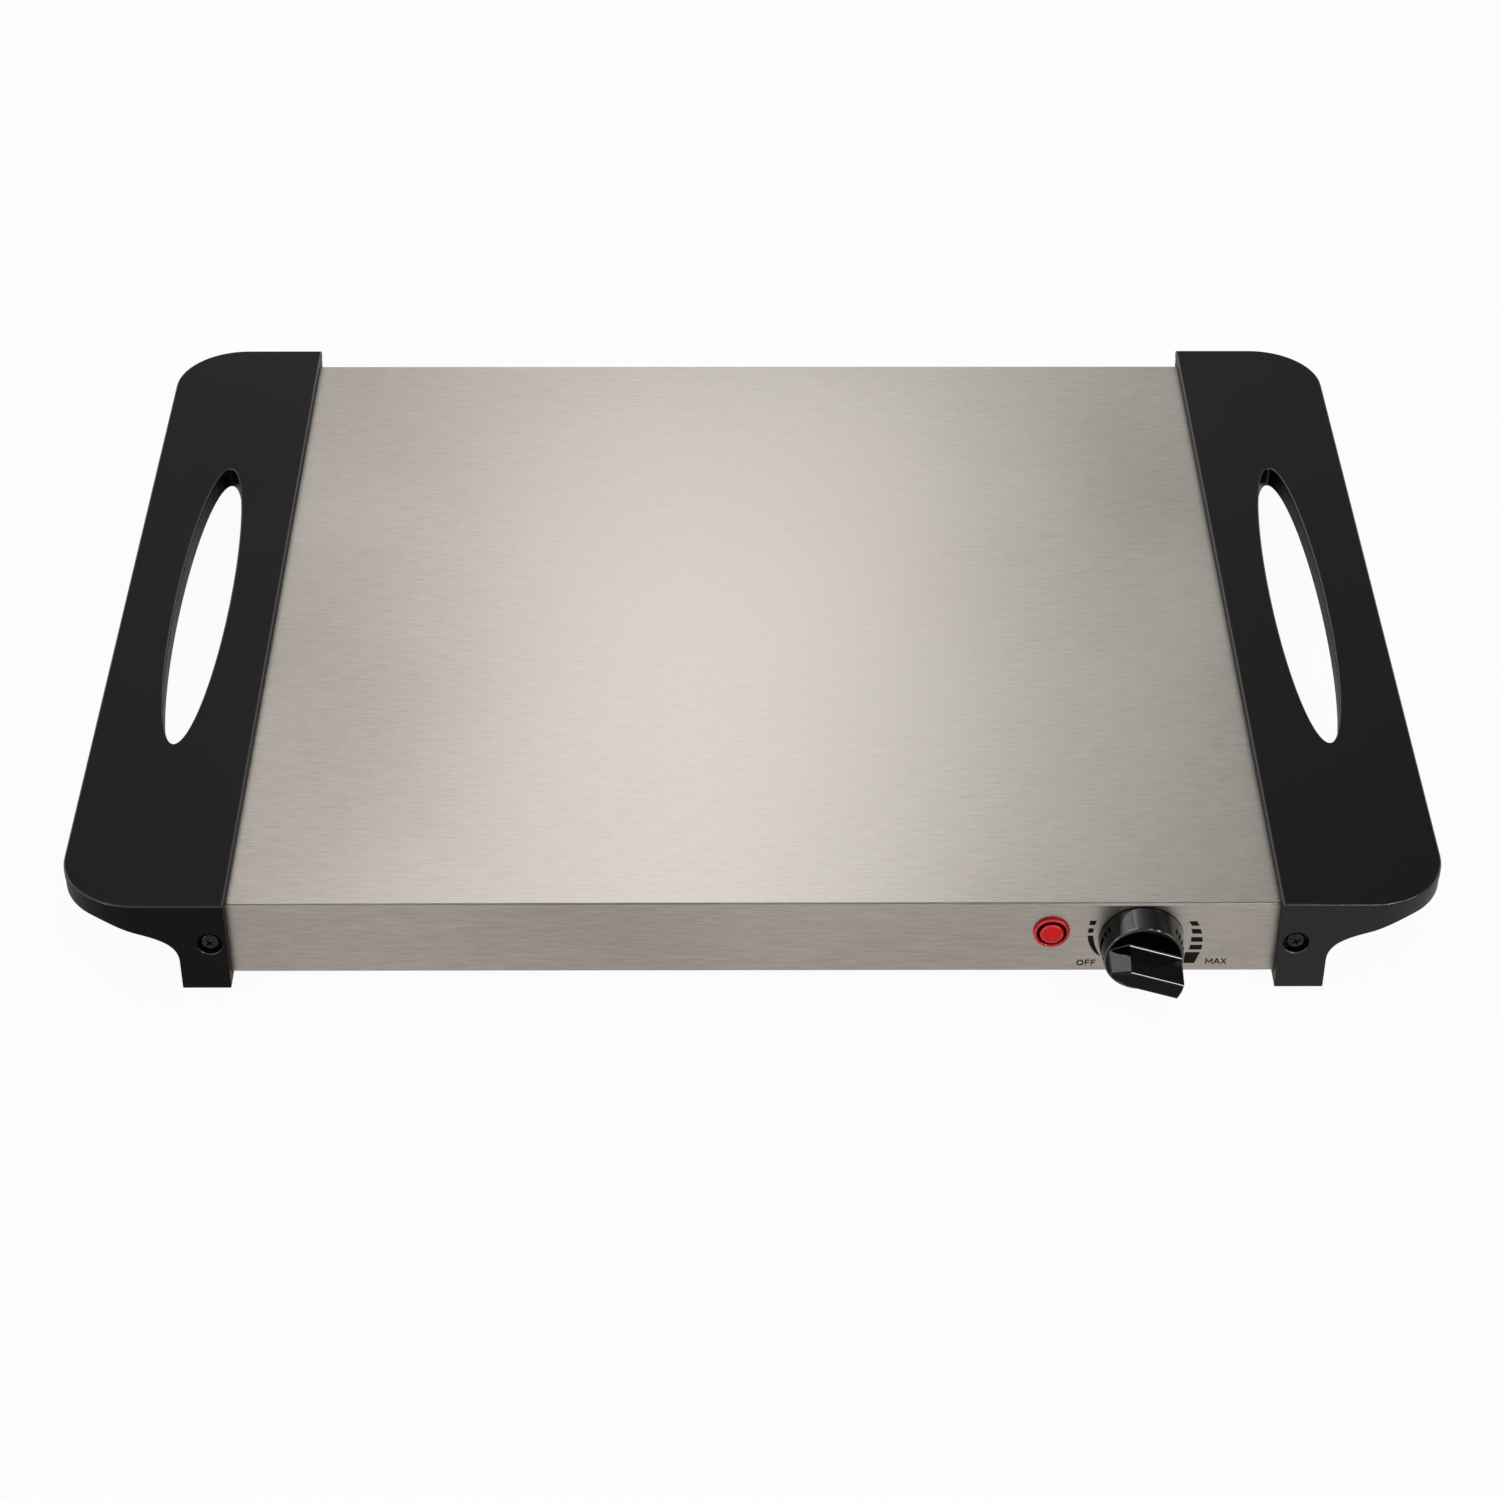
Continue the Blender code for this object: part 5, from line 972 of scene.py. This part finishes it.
def pan_head_screw(name, head, height, shank, length, cross):
    """A screw along Y with its seat at the origin and its head towards -Y."""
    domed = 1 - HEAD_SIDE_SHARE
    crown = [(head * sin(a), -height * (HEAD_SIDE_SHARE + domed * cos(a))) for a in quarter(CROWN_STEPS)]
    end = [(head, 0.0), (shank, 0.0), (shank, length - shank), (0.0, length)]
    screw = lathe(name, 0.0, 0.0, [(0.0, -height)] + crown[1:] + end, SCREW_SIDES)
    narrow, thick = cross * CROSS_FLOOR_SHARE, cross * CROSS_THICK_SHARE
    thin = thick * CROSS_TAPER
    for turn in (pi / 4, 3 * pi / 4):
        start = rectangle((-cross, -thick), (cross, thick))
        floor = rectangle((-narrow, -thin), (narrow, thin))
        ends = -height - CROSS_OVERRUN, -height + height * CROSS_DEPTH_SHARE
        blade = block("blade", "Y", [(start, ends[0]), (floor, ends[1])])
        blade.data.transform(Matrix.Rotation(turn, 4, "Y"))
        cut(screw, blade)
    return screw


handle_screw = pan_head_screw(
    "handle_screw", head=0.0036, height=HANDLE_HEAD_HEIGHT, shank=0.0019, length=0.0095, cross=0.0019
)
base_screw = pan_head_screw(
    "base_screw", head=0.003, height=BASE_HEAD_HEIGHT, shank=0.0014, length=0.0065, cross=0.0016
)
for i in (1, 2, 3, 4):
    low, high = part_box(f"end_cap_screw_{i}")
    front = (low.y + high.y) / 2 < MIDDLE_Y
    seat = low.y + HANDLE_HEAD_HEIGHT if front else high.y - HANDLE_HEAD_HEIGHT
    place = Matrix.Translation(((low.x + high.x) / 2, seat, (low.z + high.z) / 2))
    facing = Matrix.Identity(4) if front else Matrix.Rotation(pi, 4, "Z")
    turned = Matrix.Rotation(radians(TURN_OF_EACH * i), 4, "Y")
    screw = copy_of(handle_screw, f"handle_screw_{i}", place @ facing @ turned)
    dress(smooth(screw), "root", "dark_plated_screw", f"end_cap_screw_{i}")
for i in (1, 2, 3, 4):
    low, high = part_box(f"base_screw_{i}")
    place = Matrix.Translation(((low.x + high.x) / 2, (low.y + high.y) / 2, low.z + BASE_HEAD_HEIGHT))
    screw = copy_of(base_screw, f"base_screw_head_{i}", place @ Matrix.Rotation(pi / 2, 4, "X"))
    dress(smooth(screw), "root", "plated_steel", f"base_screw_{i}")
for pattern in (handle_screw, base_screw):
    bpy.data.objects.remove(pattern)

# %% [markdown]
# The knob is one moulding: a slightly tapered skirt, a disc that closes it, and a bar across the disc that
# ends in a point. The skirt and disc are turned, the bar is pulled out in layers whose first ones flare into
# the disc, and the two are joined. It stands turned towards low heat, so it is modelled level and then
# turned on its spindle.

# %% Control knob
KNOB_SET = radians(18.0)
KNOB_GAP = 0.0005
KNOB_FACE_RADIUS, KNOB_REAR_EDGE = 0.015, 0.0003
KNOB_SKIRT, KNOB_WALL, KNOB_DISC, KNOB_EDGE = 0.0112, 0.0021, 0.003, 0.0012
KNOB_HUB_RADIUS, KNOB_HUB_START = 0.0052, 0.0037
KNOB_BORE, KNOB_BORE_END = 0.0033, 0.011
POINTER_BAR_REACH, BAR_INSET, BAR_END_TAPER = 0.0137, 0.001, 0.0002
BAR_ROOT_HALF, BAR_FACE_HALF, BAR_ROOT_FILLET, BAR_EDGE = 0.0049, 0.0036, 0.0011, 0.0009
POINTER_REACH, POINTER_SHOULDER, POINTER_TIP_HALF = 0.0142, 0.0077, 0.0007
KNOB_STEPS, KNOB_SIDES, BLUNT_STEPS = 8, 128, 16


def bar_section(half, reach):
    """The bar's section: a blunt round end at the right, and a point at the left."""
    angle = degrees(asin(half / reach))
    blunt = arc((0.0, 0.0), reach, -angle, angle, BLUNT_STEPS)
    tip = [(-POINTER_REACH, POINTER_TIP_HALF), (-POINTER_REACH, -POINTER_TIP_HALF)]
    return tip + [(-POINTER_SHOULDER, -half)] + blunt + [(-POINTER_SHOULDER, half)]


def mould_knob():
    rear, face = -KNOB_GAP, -KNOB_GAP - KNOB_SKIRT
    disc = face + KNOB_DISC
    rounding = [(KNOB_FACE_RADIUS - KNOB_EDGE * (1 - cos(a)), face + KNOB_EDGE * (1 - sin(a)))
                for a in quarter(KNOB_STEPS)]
    inside = [
        (0.0, -KNOB_BORE_END), (KNOB_BORE, -KNOB_BORE_END), (KNOB_BORE, -KNOB_HUB_START),
        (KNOB_HUB_RADIUS, -KNOB_HUB_START), (KNOB_HUB_RADIUS, disc), (KNOB_FACE_RADIUS - KNOB_WALL, disc),
        (KNOB_BASE_RADIUS - KNOB_WALL, rear),
    ]
    skirt = [(KNOB_BASE_RADIUS - KNOB_REAR_EDGE, rear), (KNOB_BASE_RADIUS, rear - KNOB_REAR_EDGE)]
    profile = inside + skirt + rounding + [(0.0, face)]
    knob = lathe("pointer_knob", 0.0, 0.0, profile, KNOB_SIDES)
    reach = KNOB_FACE_RADIUS - BAR_INSET
    front = face - POINTER_BAR_REACH
    layers = [(bar_section(BAR_ROOT_HALF + BAR_ROOT_FILLET, reach), (face - KNOB_BORE_END) / 2)]
    for a in quarter(KNOB_STEPS)[1:]:
        half = BAR_ROOT_HALF + BAR_ROOT_FILLET * (1 - sin(a))
        layers.append((bar_section(half, reach), face - BAR_ROOT_FILLET * (1 - cos(a))))
    reach -= BAR_END_TAPER
    for a in quarter(KNOB_STEPS):
        inset = BAR_EDGE * (1 - cos(a))
        layers.append((bar_section(BAR_FACE_HALF - inset, reach - inset), front + BAR_EDGE * (1 - sin(a))))
    join(knob, block("pointer_bar", "Y", layers))
    return knob


knob = mould_knob()
knob.data.transform(Matrix.Translation(KNOB) @ Matrix.Rotation(KNOB_SET, 4, "Y"))
smooth(knob, 15.0)
dress(knob, "knob", "gloss_black_plastic", "control_knob")

# %% [markdown]
# The pilot lamp is a red cap pushed through the flange. It has a rolled rim, a groove down to the steel,
# and a nearly flat face with the glow lamp behind it. All of it is round, so one profile on the lathe makes
# it.

# %% Pilot lamp
LAMP_RIM, LAMP_RIM_PROUD, LAMP_RIM_WIDTH = 0.00695, 0.0016, 0.0016
LAMP_DOME, LAMP_DOME_PROUD, LAMP_SQUARE = 0.0046, 0.0023, 0.45
LAMP_BARREL, LAMP_BARREL_LENGTH, LAMP_BORE, LAMP_FACE = 0.0048, 0.011, 0.0035, 0.0012
DOME_STEPS, ROLL_STEPS, LAMP_SIDES = 16, 12, 96


def turn_lens():
    dome = [(LAMP_DOME * sin(a) ** LAMP_SQUARE, FRONT - LAMP_DOME_PROUD * cos(a) ** LAMP_SQUARE)
            for a in quarter(DOME_STEPS)]
    half = LAMP_RIM_WIDTH / 2
    roll = [(LAMP_RIM - half - half * cos(a), FRONT - LAMP_RIM_PROUD * sin(a))
            for a in (pi * i / ROLL_STEPS for i in range(ROLL_STEPS + 1))]
    end, inside = FRONT + LAMP_BARREL_LENGTH, FRONT + LAMP_FACE
    barrel = [(LAMP_RIM, FRONT), (LAMP_BARREL, FRONT), (LAMP_BARREL, end)]
    bore = [(LAMP_BORE, end), (LAMP_BORE, inside), (0.0, inside)]
    return lathe("lamp_lens", *LAMP, dome + roll + barrel + bore, LAMP_SIDES)


dress(smooth(turn_lens()), "root", "red_lens", "pilot_lamp_lens")

# %% [markdown]
# The dial is printed on the flange round the knob: a tail that widens from OFF, then blocks that grow wider
# up to MAX, cut off by level lines. A decal would need an image, so each mark is a thin flat shape that
# lies on the steel, as ink does. Its corners are its sizes on the flange, in millimetres from the tray's
# middle and up from the table.

# %% Dial print
INK = 0.00003
LETTER_SIDES = 40
DIAL_BLOCKS = {
    "dial_left_1": ((125.8, 27.8), (128.3, 27.8), (127.7, 25.7), (125.5, 25.7)),
    "dial_left_2": ((125.4, 24.1), (127.4, 24.1), (127.2, 21.9), (125.2, 21.9)),
    "dial_right_1": ((162.7, 27.5), (165.8, 27.5), (166.8, 25.3), (164.0, 25.3)),
    "dial_right_2": ((163.8, 23.7), (167.4, 23.7), (168.1, 21.4), (164.5, 21.4)),
    "dial_right_3": ((164.1, 19.7), (168.4, 19.7), (168.6, 17.4), (164.2, 17.4)),
    "dial_right_4": ((164.0, 15.9), (168.6, 15.9), (168.4, 13.6), (163.7, 13.6)),
    "dial_right_5": ((162.4, 12.3), (168.0, 12.3), (166.2, 6.9), (162.0, 6.9)),
}
TAIL_OUTER = ((125.2, 20.5), (125.5, 18.3), (126.25, 15.9), (127.45, 13.4), (128.9, 11.6), (130.7, 10.2))
TAIL_INNER = ((129.8, 12.0), (128.95, 13.9), (128.15, 16.2), (127.65, 18.3), (127.3, 20.5))
LETTERS = {
    "F": [(0, 0), (0.24, 0), (0.24, 0.42), (0.88, 0.42), (0.88, 0.6), (0.24, 0.6), (0.24, 0.82), (1, 0.82),
          (1, 1), (0, 1)],
    "M": [(0, 0), (0.16, 0), (0.16, 0.66), (0.44, 0.2), (0.56, 0.2), (0.84, 0.66), (0.84, 0), (1, 0), (1, 1),
          (0.84, 1), (0.5, 0.44), (0.16, 1), (0, 1)],
    "A": [(0, 0), (0.2, 0), (0.3, 0.24), (0.7, 0.24), (0.8, 0), (1, 0), (0.6, 1), (0.4, 1)],
    "X": [(0, 0), (0.24, 0), (0.5, 0.36), (0.76, 0), (1, 0), (0.63, 0.51), (0.98, 1), (0.74, 1), (0.5, 0.66),
          (0.26, 1), (0.02, 1), (0.37, 0.51)],
    "O": ellipse((0.5, 0.5), 0.5, 0.5, LETTER_SIDES),
}
OPENINGS = {"A": [(0.37, 0.4), (0.63, 0.4), (0.5, 0.74)], "O": ellipse((0.5, 0.5), 0.31, 0.3, LETTER_SIDES)}
WORDS = {
    "word_off": (("O", 121.75, 124.5), ("F", 124.95, 126.75), ("F", 127.2, 129.0), 5.75, 8.65),
    "word_max": (("M", 170.3, 173.1), ("A", 173.3, 175.9), ("X", 176.0, 178.4), 6.5, 9.15),
}


def printed(name, corners, start=FRONT, end=FRONT - INK):
    """A flat mark on the flange, or a cutter through it, from its corners in millimetres."""
    return prism(name, "Y", [(x / 1000, z / 1000) for x, z in corners], start, end)


def in_cell(points, left, right, low, high):
    return [(left + (right - left) * a, low + (high - low) * b) for a, b in points]


def printed_word(name, cells, low, high):
    """Letters drawn as outlines in their cells, joined to one piece."""
    pieces = []
    for i, (letter, *sides) in enumerate(cells):
        piece = printed(f"{name}_{i + 1}", in_cell(LETTERS[letter], *sides, low, high))
        if letter in OPENINGS:
            hole = in_cell(OPENINGS[letter], *sides, low, high)
            cut(piece, printed("counter", hole, FRONT + OVERRUN, FRONT - OVERRUN))
        pieces.append(piece)
    pick(*pieces)
    bpy.ops.object.join()
    pieces[0].name = pieces[0].data.name = name
    return pieces[0]


marks = [printed(name, corners) for name, corners in DIAL_BLOCKS.items()]
marks.append(printed("dial_tail", TAIL_OUTER + TAIL_INNER))
for name, (*cells, low, high) in WORDS.items():
    marks.append(printed_word(name, cells, low, high))
for mark in marks:
    dress(mark, "root", "black_rubber", look="dial_ink")

# %% [markdown]
# The cord's bush in the back flange is a soft round moulding with a collar outside and a lip inside.

# %% Cord bush
bush_low, bush_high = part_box("cord_bush")
BUSH_BORE, BUSH_WAIST, BUSH_COLLAR, BUSH_LIP = 0.0038, 0.006, 0.0085, 0.0074
BUSH_ROUND, BUSH_STEPS, BUSH_SIDES = 0.0009, 8, 64


def turn_bush():
    outer, inner, seat = bush_high.y, bush_low.y, BACK + FIT
    lip = BACK - SHEET - FIT
    corner = arc((BUSH_COLLAR - BUSH_ROUND, outer - BUSH_ROUND), BUSH_ROUND, 90.0, 0.0, BUSH_STEPS)
    mouth = arc((BUSH_BORE + BUSH_ROUND, outer - BUSH_ROUND), BUSH_ROUND, 180.0, 90.0, BUSH_STEPS)
    waist = [(BUSH_COLLAR, seat), (BUSH_WAIST, seat), (BUSH_WAIST, lip)]
    tail = [(BUSH_LIP, lip), (BUSH_WAIST, inner), (BUSH_BORE, inner)]
    return lathe("entry_bush", *ENTRY, mouth + corner + waist + tail, BUSH_SIDES)


dress(smooth(turn_bush()), "root", "black_rubber", "cord_bush")

# %% [markdown]
# Everything else is inside or below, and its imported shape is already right. Those pieces only take a finish.
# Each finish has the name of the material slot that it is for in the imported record, so it is found by that.

# %% Finishes for the inner pieces
for part in frame["record"]["subparts"]:
    node = frame["nodes"][part["node"]]
    node.data.materials.clear()
    node.data.materials.append(finishes[part["material_slot"]])
print("Inner pieces dressed:", len([n for n in frame["nodes"].values() if not n.hide_render]))
